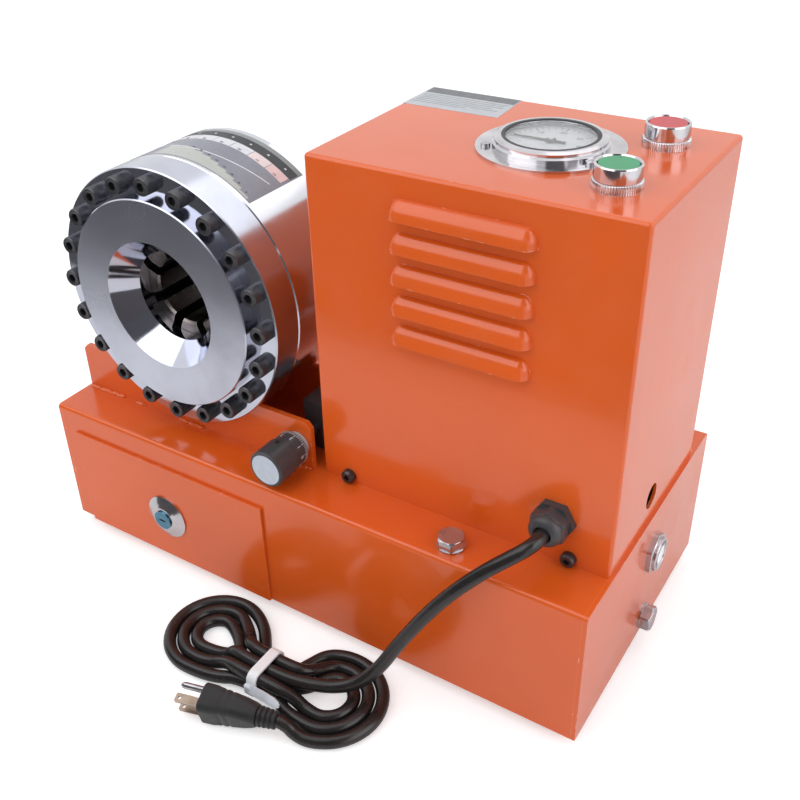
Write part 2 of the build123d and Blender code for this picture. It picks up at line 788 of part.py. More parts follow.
def make_gland_nut():
    """Clamping nut with a domed nose."""
    x, z = gland_at
    dome_y = gland_nut_y - gland_nut_height
    hexagon = Pos(x, gland_nut_y, z) * toward("-y") * hex_prism(gland_nut_hex, gland_nut_height)
    base_r = gland_nut_hex / 2
    lip_r = gland_bore + 1.6
    mid_r = lip_r + 0.75 * (base_r - lip_r)
    dome = turned_y(x, z, [(dome_y, gland_bore), (dome_y, base_r - 0.4),
                           (dome_y - gland_dome_height / 2, mid_r), (gland_face_y, lip_r),
                           (gland_face_y, gland_bore)])
    return hexagon + dome - rod_y(x, z, dome_y - 1, gland_nut_y + 1, gland_bore)


save("gland_body", make_gland_body())
save("gland_nut", make_gland_nut())

# ---------------------------------------------------------------- gauge
gauge_x_at, gauge_y_at = gauge_at
case_bottom = housing_top - gauge_case_depth
dial_z = housing_top + 1.0
bezel_top = housing_top + gauge_bezel_height
glass_z = bezel_top - gauge_glass_thickness - 0.8


def make_gauge_case():
    """Gauge cup with its mounting flange and the pressure stem below."""
    inner = gauge_case_radius - gauge_case_wall
    flange_top = housing_top + gauge_flange_sheet
    cup = turned_z(*gauge_at, [(case_bottom, 0), (case_bottom, gauge_case_radius),
                               (housing_top, gauge_case_radius), (housing_top, gauge_flange_radius),
                               (flange_top, gauge_flange_radius), (flange_top, inner),
                               (case_bottom + gauge_case_wall, inner),
                               (case_bottom + gauge_case_wall, 0)])
    for x, y in gauge_screw_places():
        cup -= rod_z(x, y, housing_top - 1, flange_top + 1, 1.6)
    return cup + rod_z(*gauge_at, case_bottom - gauge_stem_length, case_bottom, gauge_stem_radius)


def gauge_screw_places():
    """Centres of the flange screws."""
    places = []
    for i in range(gauge_screw_count):
        turn = math.radians(-30 + 360 / gauge_screw_count * i)
        places.append((gauge_x_at + gauge_screw_circle * math.cos(turn),
                       gauge_y_at + gauge_screw_circle * math.sin(turn)))
    return places


def make_gauge_bezel():
    """Stepped bezel ring that holds the glass."""
    flange_top = housing_top + gauge_flange_sheet
    r = gauge_bezel_radius
    seat = gauge_glass_radius + bore_gap
    lip = gauge_glass_radius - 1.2
    return turned_z(*gauge_at, [(flange_top, seat), (flange_top, r), (flange_top + 2.5, r),
                                (flange_top + 3.5, r - 1.2), (bezel_top - 1.2, r - 1.2),
                                (bezel_top, r - 3.0), (bezel_top, lip),
                                (glass_z + gauge_glass_thickness, lip),
                                (glass_z + gauge_glass_thickness, seat)])


def make_gauge_dial():
    """Dial plate on a post, with the needle's pivot."""
    plate = rod_z(*gauge_at, dial_z - gauge_dial_sheet, dial_z, gauge_dial_radius)
    post = rod_z(*gauge_at, case_bottom + gauge_case_wall, dial_z - gauge_dial_sheet, 6.0)
    return plate + post + rod_z(*gauge_at, dial_z, glass_z - 0.6, gauge_pivot_radius)


def make_gauge_needle():
    """Tapered needle on its hub, pointing left at rest."""
    x, y = gauge_at
    low = dial_z + 0.5
    high = low + 0.8
    half = gauge_needle_width / 2
    blade = Polyline([(x - gauge_needle_length, y - 0.3), (x + gauge_needle_tail, y - half),
                      (x + gauge_needle_tail, y + half), (x - gauge_needle_length, y + 0.3)], close=True)
    needle = Pos(0, 0, low) * extrude(make_face(blade), high - low)
    needle += rod_z(x, y, low, high + 0.6, 3.0)
    return needle - rod_z(x, y, low - 1, high + 2, gauge_pivot_radius + 0.05)


def make_gauge_screw(x, y):
    """Small pan-head screw on the gauge's flange."""
    flange_top = housing_top + gauge_flange_sheet
    head = rod_z(x, y, flange_top, flange_top + 1.8, 2.9)
    return head + rod_z(x, y, housing_top, flange_top, 1.5)


save("gauge_case", make_gauge_case())
save("gauge_bezel", make_gauge_bezel())
save("gauge_glass", rod_z(*gauge_at, glass_z, glass_z + gauge_glass_thickness, gauge_glass_radius))
save("gauge_dial", make_gauge_dial())
save("gauge_needle", make_gauge_needle())
save("gauge_screws", *[make_gauge_screw(x, y) for x, y in gauge_screw_places()])


# ---------------------------------------------------------------- push buttons
def button_places():
    """Centres of the start button and the stop button."""
    x = housing_x1 - button_inset
    return [(x, housing_y0 + start_setback), (x, housing_y0 + stop_setback)]


collar_top = housing_top + button_collar_height
cap_top = collar_top - button_recess
block_top = housing_top - housing_sheet
block_bottom = block_top - button_block_height


def make_collar(x, y):
    """Chrome collar: a wider knurled foot and a plain rim."""
    bore = button_cap_radius + button_clearance
    r = button_collar_radius
    return turned_z(x, y, [(housing_top, bore), (housing_top, r + 0.3), (housing_top + 6.5, r + 0.3),
                           (housing_top + 7.0, r - 0.4), (collar_top - 1.0, r - 0.4),
                           (collar_top, r - 1.4), (collar_top, bore)])


def make_contact_block(x, y):
    """Switch block under the housing's top, bored for the button's stem."""
    half = button_block_size / 2
    body = block(x - half, x + half, y - half, y + half, block_bottom, block_top)
    bore_bottom = cap_top - button_cap_height - 20.0
    body -= rod_z(x, y, bore_bottom, block_top + 1, button_stem_radius + button_clearance)
    return body


def make_button(x, y):
    """Button cap with its stem."""
    cap = rod_z(x, y, cap_top - button_cap_height, cap_top, button_cap_radius)
    stem_end = cap_top - button_cap_height - 16.0
    return cap + rod_z(x, y, stem_end, cap_top - button_cap_height, button_stem_radius)


save("button_collars", *[make_collar(x, y) for x, y in button_places()])
save("contact_blocks", *[make_contact_block(x, y) for x, y in button_places()])
save("start_button", make_button(*button_places()[0]))
save("stop_button", make_button(*button_places()[1]))

# ---------------------------------------------------------------- crimp size dial
saddle_y0 = front + saddle_front_setback
bushing_y0 = saddle_y0 - dial_bushing_length
dial_y1 = bushing_y0 - die_slide_clearance
dial_y0 = dial_y1 - dial_length
spindle_end = saddle_y1 + dial_spindle_reach


def make_dial_knob():
    """Knob with a slightly narrower graduated skirt, a recess for its face disc and its spindle."""
    skirt_y = dial_y1 - dial_skirt_length
    outline = [(dial_y0 + dial_face_recess, 0), (dial_y0 + dial_face_recess, dial_face_radius),
               (dial_y0, dial_face_radius), (dial_y0, dial_radius - 1.0),
               (dial_y0 + 1.0, dial_radius), (skirt_y - 1.0, dial_radius),
               (skirt_y, dial_skirt_radius), (dial_y1, dial_skirt_radius), (dial_y1, 0)]
    knob = turned_y(*dial_at, outline)
    return knob + rod_y(*dial_at, dial_y1, spindle_end, dial_spindle_radius)


def make_dial_bushing():
    """Threaded collar on the saddle plate, in which the spindle turns."""
    collar = rod_y(*dial_at, bushing_y0, saddle_y0, dial_bushing_radius)
    return collar - rod_y(*dial_at, bushing_y0 - 1, saddle_y0 + 1,
                          dial_spindle_radius + dial_running_clearance)


def make_limit_switch():
    """Limit switch on its foot, behind the dial's spindle, with a roller plunger."""
    x, z = dial_at
    y0 = spindle_end + 6.0
    half = switch_width / 2
    body = block(x - half, x + half, y0, y0 + switch_depth, base_top, base_top + switch_height)
    body = fillet(body.edges().filter_by(Axis.Z), 1.5)
    return body + rod_y(x, z, spindle_end + 2.0, y0, 3.0)


save("dial_knob", make_dial_knob())
save("dial_face", rod_y(*dial_at, dial_y0, dial_y0 + dial_face_recess, dial_face_radius))
save("dial_bushing", make_dial_bushing())
save("limit_switch", make_limit_switch())


# ---------------------------------------------------------------- tank fittings
def make_sight_body():
    """Hexagon body of the oil sight glass, screwed into the tank's side."""
    y, z = sight_at
    hexagon = Pos(right, y, z) * toward("+x") * hex_prism(sight_hex, sight_height)
    thread = rod_x(y, z, right - base_sheet - sight_thread_length, right, sight_thread_radius)
    seat = rod_x(y, z, right + sight_height - sight_window_thickness, right + sight_height + 1,
                 sight_window_radius)
    return hexagon + thread - seat


def make_plug(place, direction):
    """Hexagon tank plug on its washer, standing on the named axis."""
    head = Pos(0, 0, washer_thickness) * hex_prism(filler_hex, plug_hex_height)
    crown = rod_z(0, 0, washer_thickness, washer_thickness + plug_hex_height, filler_hex / 2 * 1.12)
    shank = rod_z(0, 0, washer_thickness - plug_thread_length, washer_thickness, plug_thread_radius)
    top = crown.edges().filter_by(GeomType.CIRCLE).sort_by(Axis.Z)[-1]
    head = head & chamfer(top, 1.2)
    return Pos(*place) * toward(direction) * (head + shank)


def make_washer(place, direction):
    """Sealing washer under a tank plug."""
    ring = rod_z(0, 0, 0, washer_thickness, washer_radius)
    ring -= rod_z(0, 0, -1, washer_thickness + 1, plug_thread_radius + bore_gap)
    return Pos(*place) * toward(direction) * ring


filler_place = (*filler_at, base_top)
drain_place = (right, *drain_at)
save("sight_glass_body", make_sight_body())
save("sight_glass_window", rod_x(*sight_at, right + sight_height - sight_window_thickness,
                                 right + sight_height, sight_window_radius))
save("tank_plugs", make_plug(filler_place, "+z"), make_plug(drain_place, "+x"),
     make_washer(filler_place, "+z"), make_washer(drain_place, "+x"))

# ---------------------------------------------------------------- motor, pump, valve and oil line
motor_top = base_top + motor_height
pump_bottom = base_top - base_sheet - pump_height
fan_z = motor_top + fan_gap
shaft_bottom = pump_bottom + 10.0
shaft_bore = shaft_radius + shaft_clearance


def make_motor():
    """Vertical motor with its foot flange and cooling ribs, bored for the shaft."""
    flange_top = base_top + motor_flange_height
    body = rod_z(*motor_at, base_top, flange_top, motor_flange_radius)
    body += rod_z(*motor_at, flange_top, motor_top, motor_radius - motor_fin_depth)
    rib = block(0, motor_radius, -1.5, 1.5, flange_top, motor_top - 8.0)
    for i in range(motor_fin_count):
        body += Pos(*motor_at, 0) * Rot(0, 0, 360 / motor_fin_count * i) * rib
    return body - rod_z(*motor_at, base_top - 1, motor_top + 1, shaft_bore)


def make_pump():
    """Pump hung in the tank under the motor, bored for the shaft."""
    body = rod_z(*motor_at, pump_bottom, base_top - base_sheet, pump_radius)
    inlet = rod_z(*motor_at, pump_bottom - 12.0, pump_bottom, pump_radius / 2)
    return body + inlet - rod_z(*motor_at, shaft_bottom - 2.0, base_top, shaft_bore)


def make_rotor():
    """Shaft with the cooling fan on its upper end."""
    shaft = rod_z(*motor_at, shaft_bottom, fan_z + fan_height, shaft_radius)
    hub = rod_z(*motor_at, fan_z, fan_z + fan_height, 2 * shaft_radius)
    blade = block(shaft_radius, fan_radius, -1.0, 1.0, fan_z, fan_z + fan_height)
    rotor = shaft + hub
    for i in range(fan_blades):
        rotor += Pos(*motor_at, 0) * Rot(0, 0, 360 / fan_blades * i) * blade
    return rotor


valve_x0 = housing_x0 + valve_inset
valve_x1 = valve_x0 + valve_width
valve_y0 = pipe_y - valve_depth / 2


def make_valve_block():
    """Valve manifold with its solenoid, bolted on the base beside the motor."""
    body = block(valve_x0, valve_x1, valve_y0, valve_y0 + valve_depth, base_top, base_top + valve_height)
    mid_x = (valve_x0 + valve_x1) / 2
    body += rod_z(mid_x, pipe_y, base_top + valve_height, pipe_z + 3 * pipe_radius, 12.0)
    return body - rod_x(pipe_y, pipe_z, valve_x0 - 1, mid_x, pipe_radius + bore_gap)


def make_oil_pipe():
    """Steel line from the barrel's rear port to the valve block, with its port nut."""
    port_x, port_z = around_head(pipe_port_circle, pipe_port_angle)
    route = FilletPolyline((port_x, barrel_rear_y, port_z), (port_x, pipe_y, port_z),
                           (valve_x0 + 6.0, pipe_y, port_z), radius=pipe_bend * 0.9)
    section = Plane(origin=(port_x, barrel_rear_y, port_z), z_dir=(0, 1, 0)) * Circle(pipe_radius)
    tube = sweep(section, path=route)
    nut = rod_y(port_x, port_z, barrel_rear_y, barrel_rear_y + pipe_nut_length, pipe_nut_radius)
    return tube + nut


def make_gauge_line():
    """Thin line from the gauge's stem over the fan and down to the valve block."""
    x, y = gauge_at
    stem_end = housing_top - gauge_case_depth - gauge_stem_length
    over = stem_end - gauge_line_drop
    end_x = (valve_x0 + valve_x1) / 2
    end_y = valve_y0 + 2 * gauge_line_radius + 2
    route = FilletPolyline((x, y, stem_end), (x, y, over), (end_x, end_y, over),
                           (end_x, end_y, base_top + valve_height), radius=gauge_line_bend)
    section = Plane(origin=(x, y, stem_end), z_dir=(0, 0, -1)) * Circle(gauge_line_radius)
    return sweep(section, path=route)


save("motor_body", make_motor())
save("motor_rotor", make_rotor())
save("pump", make_pump())
save("valve_block", make_valve_block())
save("oil_lines", make_oil_pipe(), make_gauge_line())

# ---------------------------------------------------------------- power cord
cord_radius = cord_diameter / 2
gland_exit = (gland_at[0], gland_face_y, gland_at[1])

# Centre line of the cord from the gland to the tied bundle, chosen by hand.
cord_route = [
    gland_exit,
    (184.5, -98.8, 150.5),
    (182.0, -105.0, 149.0),
    (175.5, -110.5, 144.0),
    (160.5, -119.0, 131.5),
    (141.0, -126.0, 109.0),
    (124.5, -131.5, 84.5),
    (108.5, -137.5, 56.5),
    (97.5, -143.5, 34.0),
    (86.0, -151.0, 20.5),
    (72.0, -158.5, 15.0),
    (56.0, -166.0, 15.6),
    (43.0, -171.0, 16.1),
]

loop_height = 9.5
left_loop = (-37.0, -157.0, 39.0, 10.0)           # x, y, outer radius, inner radius
right_loop = (67.0, -161.0, 41.7, 12.3)
waist_x = (-1.0, 43.0)
waist_y = (-185.6, -156.4)
waist_z = (2.0, 20.9)
flare_left = (-20.0, -183.0, -138.0)              # x of its end, and the y span there
flare_right = (53.0, -186.0, -146.0)
tie_x = 21.0
tie_width = 7.6
tie_thickness = 1.6
tie_clearance = 0.3
plug_axis_turn = 195.0
plug_roll = 15.0
plug_at = (3.0, -214.5, 13.8)
plug_body_length = 39.0
plug_body_width = 25.0
plug_body_height = 21.0
plug_neck_length = 14.0
plug_lead_end = (72.0, -194.5, 5.0)
plug_lead_straight = 6.0
plug_neck_radius = 7.0
blade_length = 18.0
blade_spacing = 12.7
blade_half_width = 3.2
blade_offset = 3.9
earth_offset = -8.0


def corner_radii(points):
    """The largest tangent arcs that the runs allow, one for each corner."""
    radii = []
    for before, here, after in zip(points, points[1:], points[2:]):
        first = Vector(*here) - Vector(*before)
        second = Vector(*after) - Vector(*here)
        half_turn = math.radians(first.get_angle(second) / 2)
        shorter = min(first.length, second.length)
        radii.append(0.45 * shorter / math.tan(half_turn))
    return radii


def make_cord():
    """The cord's free stretch: straight runs joined by tangent arcs."""
    radii = corner_radii(cord_route)
    path = FilletPolyline(*cord_route, radius=radii)
    start = Vector(*cord_route[0])
    section = Plane(origin=start, z_dir=Vector(*cord_route[1]) - start) * Circle(cord_radius)
    tube = sweep(section, path=path)
    print("cord corner radii", [round(r, 1) for r in radii])
    print("cord length", round(path.length, 1), "volume ratio",
          round(tube.volume / (math.pi * cord_radius ** 2 * path.length), 4))
    return tube


def loop_solid(x, y, outer, inner):
    """One lobe of the bundle as a flat ring."""
    return rod_z(x, y, 0, loop_height, outer) - rod_z(x, y, -1, loop_height + 1, inner)


def waist_section(x, grow=0.0):
    """Rounded outline of the waist in the plane at x."""
    width = waist_y[1] - waist_y[0] + 2 * grow
    height = waist_z[1] - waist_z[0] + 2 * grow
    middle = Plane(origin=(x, sum(waist_y) / 2, sum(waist_z) / 2), x_dir=(0, 1, 0), z_dir=(1, 0, 0))
    return middle * RectangleRounded(width, height, cord_radius + grow)


def make_flare(waist_end, x, y0, y1):
    """The strands between the waist and a lobe, spreading and coming down to the bench."""
    low = Plane(origin=(x, (y0 + y1) / 2, loop_height / 2), x_dir=(0, 1, 0), z_dir=(1, 0, 0))
    return loft([waist_section(waist_end), low * RectangleRounded(y1 - y0, loop_height, 0.9 * cord_radius)])


def make_hank():
    """Outer form of the tied cord: two flat lobes, the waist that the tie grips, and the plug's lead."""
    core = extrude(waist_section(waist_x[0]), waist_x[1] - waist_x[0])
    core += make_flare(waist_x[0], *flare_left) + make_flare(waist_x[1], *flare_right)
    turn = math.radians(plug_axis_turn)
    axis = Vector(-math.cos(turn), -math.sin(turn), 0)
    start = Vector(*plug_at) + axis * (plug_body_length + plug_neck_length)
    path = Polyline(start, start + axis * plug_lead_straight, Vector(*plug_lead_end))
    lead = sweep(Plane(origin=start, z_dir=axis) * Circle(cord_radius), path=path, transition=Transition.ROUND)
    return loop_solid(*left_loop) + loop_solid(*right_loop) + core + lead


def make_tie():
    """Nylon tie round the bundle's waist."""
    x0 = tie_x - tie_width / 2
    outer = extrude(waist_section(x0, tie_clearance + tie_thickness), tie_width)
    return outer - extrude(waist_section(x0, tie_clearance), tie_width)


def make_plug_body():
    """Moulded three-pin plug, thicker at the face, with a ribbed strain relief behind."""
    low = plug_body_length
    face = Pos(0, 0, 0) * RectangleRounded(plug_body_width, plug_body_height, 5.0)
    waist_face = Pos(0, 0, 0.6 * low) * RectangleRounded(plug_body_width - 2.0, plug_body_height - 4.0, 5.0)
    neck_face = Pos(0, 0, low) * RectangleRounded(16.0, 15.0, 5.0)
    body = loft([face, waist_face]) + loft([waist_face, neck_face])
    neck = turned_z(0, 0, [(low, 0), (low, plug_neck_radius), (low + plug_neck_length, cord_radius + 1.2),
                           (low + plug_neck_length, 0)])
    return plug_place * (body + neck)


def make_plug_pins():
    """Two flat blades and the round earth pin."""
    pins = []
    for x in (-blade_spacing / 2, blade_spacing / 2):
        blade = block(x - 0.75, x + 0.75, blade_offset - blade_half_width,
                      blade_offset + blade_half_width, -blade_length, 0)
        tips = blade.edges().filter_by(Axis.X).group_by(Axis.Z)[0]
        pins.append(plug_place * chamfer(tips, 1.2))
    earth = rod_z(0, earth_offset, -blade_length - 3.0, 0, 2.4)
    tip = earth.edges().filter_by(GeomType.CIRCLE).group_by(Axis.Z)[0]
    pins.append(plug_place * fillet(tip, 2.0))
    return pins


plug_place = Pos(*plug_at) * Rot(0, 0, plug_axis_turn) * Rot(0, -90, 0) * Rot(0, 0, plug_roll)
save("power_cord", make_cord())
save("cord_hank", make_hank())
save("cable_tie", make_tie())
save("plug_body", make_plug_body())
save("plug_pins", *make_plug_pins())
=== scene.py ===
"""Looks of an electric hose crimping machine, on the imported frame, in metres."""

import json
import logging
import math
from collections.abc import Callable
from dataclasses import dataclass
from enum import Enum

import bmesh
import bpy
from mathutils import Matrix, Vector

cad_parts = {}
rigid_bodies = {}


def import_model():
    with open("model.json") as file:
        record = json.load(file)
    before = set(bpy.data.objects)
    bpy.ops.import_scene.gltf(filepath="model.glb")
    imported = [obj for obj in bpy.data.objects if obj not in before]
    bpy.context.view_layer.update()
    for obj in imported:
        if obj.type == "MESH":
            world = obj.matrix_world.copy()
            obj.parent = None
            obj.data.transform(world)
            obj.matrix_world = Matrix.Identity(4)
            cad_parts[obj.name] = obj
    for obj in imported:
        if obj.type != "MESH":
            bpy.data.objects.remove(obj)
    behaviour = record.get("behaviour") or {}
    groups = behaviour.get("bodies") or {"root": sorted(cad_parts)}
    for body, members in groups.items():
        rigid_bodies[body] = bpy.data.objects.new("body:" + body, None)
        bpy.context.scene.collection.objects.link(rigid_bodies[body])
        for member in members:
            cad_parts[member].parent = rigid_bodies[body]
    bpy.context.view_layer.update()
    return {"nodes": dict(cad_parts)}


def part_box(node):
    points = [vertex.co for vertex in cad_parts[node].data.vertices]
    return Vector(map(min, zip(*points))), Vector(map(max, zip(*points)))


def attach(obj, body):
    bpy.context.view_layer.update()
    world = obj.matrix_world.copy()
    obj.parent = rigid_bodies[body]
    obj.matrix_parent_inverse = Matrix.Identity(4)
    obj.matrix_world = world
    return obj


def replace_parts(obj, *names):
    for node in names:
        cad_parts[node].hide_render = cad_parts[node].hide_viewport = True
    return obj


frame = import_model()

LOG = logging.getLogger("crimper")
Pair = tuple[float, float]
Point = tuple[float, float, float]
Colour = tuple[float, float, float]
Form = Callable[[float], float]
Rings = list[list[Point]]
Shape = bmesh.types.BMesh
Socket = bpy.types.NodeSocket
Thing = bpy.types.Object
MM = 0.001
FULL_TURN = 360
HEAD_AXIS: Point = (-0.1113, 0.0, 0.228)


# --- small helpers
def linear(value: int) -> float:
    """One screen channel of 0 to 255 as linear light."""
    share = value / 255
    return share / 12.92 if share <= 0.04045 else ((share + 0.055) / 1.055) ** 2.4


def rgb(red: int, green: int, blue: int) -> Colour:
    """A screen colour of 0 to 255 a channel as linear light."""
    return linear(red), linear(green), linear(blue)


def shade(colour: Colour, factor: float) -> Colour:
    """A colour made darker by a factor."""
    red, green, blue = colour
    return red * factor, green * factor, blue * factor


def node(name: str) -> Thing:
    """The CAD node of that name."""
    return frame["nodes"][name]


def low(name: str) -> Vector:
    """Lowest corner of a CAD node's box."""
    return Vector(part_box(name)[0])


def high(name: str) -> Vector:
    """Highest corner of a CAD node's box."""
    return Vector(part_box(name)[1])


def centre(name: str) -> Vector:
    """Middle of a CAD node's box."""
    return (low(name) + high(name)) / 2


def polar(radius: float, degrees: float) -> Pair:
    """A point on a circle about zero."""
    turn = math.radians(degrees)
    return radius * math.cos(turn), radius * math.sin(turn)


def spin(degrees: float, axis: str) -> Matrix:
    """A turn about an axis."""
    return Matrix.Rotation(math.radians(degrees), 4, axis)


def wheel(radius: float, count: int, form: Form | None = None) -> list[Pair]:
    """Points round a circle about zero, drawn in or out by a form's factor for each direction."""
    turns = [i * FULL_TURN / count for i in range(count)]
    return [polar(radius * form(turn) if form else radius, turn) for turn in turns]


def hexagon(share: float, corner: float = 2.0, flat: float = 0.0) -> Form:
    """The form of a hexagon about the circle that its flats touch.

    Args:
        share: How much of the hexagon shows, 0 for a circle.
        corner: Factor at which the corners are cut off.
        flat: Direction of one flat's middle in degrees.

    Returns:
        The form.
    """

    def reach(degrees: float) -> float:
        """Factor on the radius in one direction."""
        sharp = 1 / math.cos(math.radians((degrees - flat + 30) % 60 - 30))
        return 1 + (min(sharp, corner) - 1) * share

    return reach


def toothed(teeth: int, depth: float, groove: float = 0.4) -> Form:
    """The form of a knurl: how deep its grooves are, and how wide, as shares of the radius and of a tooth."""
    return lambda degrees: 1 - depth if degrees * teeth / FULL_TURN % 1 < groove else 1.0


# --- finishes
class Graph:
    """Shader nodes of a material or a world, with short calls for the ones used here."""

    def __init__(self, owner: bpy.types.Material | bpy.types.World, shader: str = "Principled BSDF") -> None:
        """Take hold of the nodes.

        Args:
            owner: The material or world.
            shader: The node that its looks go into.
        """
        owner.use_nodes = True
        self.nodes = owner.node_tree.nodes
        self.links = owner.node_tree.links
        self.shader = self.nodes[shader]

    def feed(self, socket: Socket, value: object) -> None:
        """Link a socket, or set it to a plain value.

        Args:
            socket: The socket that is fed.
            value: Another node's socket, a number, a point or a colour.
        """
        if isinstance(value, bpy.types.NodeSocket):
            self.links.new(value, socket)
        else:
            socket.default_value = (*value, 1) if socket.type == "RGBA" else value

    def add(self, kind: str, **values: object) -> bpy.types.Node:
        """Add a node.

        Args:
            kind: Its type, without the word ShaderNode.
            values: Its settings, and what its sockets are fed, with underscores for spaces in their names.

        Returns:
            The node.
        """
        made = self.nodes.new("ShaderNode" + kind)
        for name, value in values.items():
            if hasattr(made, name):
                setattr(made, name, value)
            else:
                self.feed(made.inputs[name.replace("_", " ")], value)
        return made

    def set(self, **values: object) -> None:
        """Feed the shader's own sockets, with underscores for spaces in their names."""
        for name, value in values.items():
            self.feed(self.shader.inputs[name.replace("_", " ")], value)

    def place(self, scale: Point = (1, 1, 1), middle: Point = (0, 0, 0)) -> Socket:
        """Object coordinates, stretched by a scale for each axis about a middle."""
        plain, shift = self.add("TexCoord").outputs["Object"], [-m * s for m, s in zip(middle, scale)]
        return self.add("Mapping", Vector=plain, Scale=scale, Location=shift).outputs["Vector"]

    def noise(self, scale: float, detail: float = 2.0, where: Socket | None = None) -> Socket:
        """Soft random pattern from 0 to 1, its scale in spots a metre, with finer layers as detail."""
        return self.add("TexNoise", Scale=scale, Detail=detail, Vector=where or self.place()).outputs["Fac"]

    def rings(self, scale: float, distortion: float, axis: Point) -> Socket:
        """Fine turning marks round an axis along Y, more or less distorted."""
        return self.add("TexWave", wave_type="RINGS", rings_direction="Y", Scale=scale, Distortion=distortion,
                        Detail=2.0, Vector=self.place((1, 0.02, 1), axis)).outputs["Fac"]

    def span(self, value: Socket, source: Pair, target: Pair) -> Socket:
        """Stretch a value from a source span to a target span, clamped."""
        ends = dict(zip(("From_Min", "From_Max", "To_Min", "To_Max"), source + target))
        return self.add("MapRange", Value=value, **ends).outputs["Result"]

    def work(self, kind: str, operation: str, *values: object) -> Socket:
        """Work a number out of others.

        Args:
            kind: Math for numbers, VectorMath for vectors.
            operation: What is done, such as MULTIPLY or LENGTH.
            values: What goes in.

        Returns:
            The number.
        """
        step = self.add(kind, operation=operation)
        for socket, value in zip(step.inputs, values):
            self.feed(socket, value)
        return step.outputs["Value"]

    def blend(self, share: Socket, first: Colour | Socket, second: Colour) -> Socket:
        """Blend two colours.

        Args:
            share: How much of the second colour shows.
            first: Where the share is 0.
            second: Where the share is 1.

        Returns:
            The colour.
        """
        mix = self.add("Mix", data_type="RGBA")
        for slot, value in ((0, share), (6, first), (7, second)):
            self.feed(mix.inputs[slot], value)
        return mix.outputs[2]

    def cloud(self, pattern: Socket, colour: Colour, factor: float, gate: Pair = (0.3, 0.7)) -> Socket:
        """Cloud a colour with a darker shade of itself, where a pattern passes its gate."""
        return self.blend(self.span(pattern, gate, (0, 1)), colour, shade(colour, factor))

    def gloss(self, pattern: Socket, roughness: float, least: float, most: float, top: float = 0.7) -> None:
        """Vary the shader's roughness by a pattern, from the least to the most share of it."""
        self.set(Roughness=self.span(pattern, (0.3, top), (roughness * least, roughness * most)))

    def bump(self, height: Socket, strength: float, depth: float) -> None:
        """Roughen the surface by a height pattern, on top of any bump set before.

        Args:
            height: The pattern.
            strength: How much of it shows.
            depth: Its height in metres.
        """
        step = self.add("Bump", Strength=strength, Distance=depth, Height=height)
        normal = self.shader.inputs["Normal"]
        if normal.links:
            self.feed(step.inputs["Normal"], normal.links[0].from_socket)
        self.feed(normal, step.outputs["Normal"])

    def edges(self, radius: float) -> Socket:
        """Where the surface turns sharply: 0 on flats, 1 on edges.

        Args:
            radius: Width of the edge band in metres.

        Returns:
            The mask.
        """
        soft, plain = self.add("Bevel", samples=4, Radius=radius), self.add("NewGeometry")
        match = self.work("VectorMath", "DOT_PRODUCT", soft.outputs["Normal"], plain.outputs["Normal"])
        return self.span(match, (0.99, 0.80), (0.0, 1.0))


@dataclass(frozen=True)
class Finish:
    """A finish, whose material is made once from the nodes that its kind lays."""

    name: str
    colour: Colour

    def material(self) -> bpy.types.Material:
        """The finish's material, made on first use.

        Returns:
            The material.
        """
        if self.name not in bpy.data.materials:
            self.lay(Graph(bpy.data.materials.new(self.name)))
        return bpy.data.materials[self.name]

    def lay(self, graph: Graph) -> None:
        """Each kind of finish lays its own nodes in the new material's graph."""
        raise NotImplementedError


@dataclass(frozen=True)
class Enamel(Finish):
    """Glossy sprayed enamel on folded sheet, with slight waves, chipped edges and a pale band on every edge
    that is partly thin enamel and partly a painted highlight.
    """

    # Pale edge colour: thinner enamel over the edges, and a painted edge highlight.
    thin: Colour = rgb(250, 140, 80)
    chip: Colour = rgb(250, 205, 175)

    def lay(self, graph: Graph) -> None:
        """Cloud the colour, pale its edges with thin enamel and a painted highlight, chip them and wave the
        surface.

        Args:
            graph: The new material's nodes.
        """
        base = graph.cloud(graph.noise(7.0, 3.0), self.colour, 0.88)
        edge = graph.edges(0.0008)
        # Painted highlight: a pale band along every edge, partly thin enamel, partly a painted edge
        # highlight.
        thin = graph.blend(graph.work("Math", "MULTIPLY", edge, 0.3), base, self.thin)
        spots = graph.span(graph.noise(120.0, 5.0), (0.6, 0.66), (0, 1))
        chipped = graph.blend(graph.work("Math", "MULTIPLY", edge, spots), thin, self.chip)
        graph.set(IOR=1.5, Coat_Weight=0.3, Coat_Roughness=0.06, Specular_IOR_Level=0.5, Base_Color=chipped)
        graph.set(Roughness=graph.span(graph.noise(42.0, 3.0), (0.3, 0.7), (0.14, 0.26)))
        graph.bump(graph.noise(420.0, 1.0), 0.03, 0.0001)
        graph.bump(graph.noise(9.0, 1.0), 0.16, 0.0012)


@dataclass(frozen=True)
class TurnedSteel(Finish):
    """Bright steel turned on a lathe: fine rings about an axis along Y, and slight smears."""

    roughness: float
    axis: Point

    def lay(self, graph: Graph) -> None:
        """Smear the steel and ring it.

        Args:
            graph: The new material's nodes.
        """
        smear = graph.noise(26.0, 4.0)
        graph.set(Metallic=1.0, Base_Color=graph.cloud(smear, self.colour, 0.8, (0.35, 0.7)))
        graph.gloss(smear, self.roughness, 0.75, 1.3, 0.75)
        graph.bump(graph.rings(900.0, 2.5, self.axis), 0.25, 0.00003)


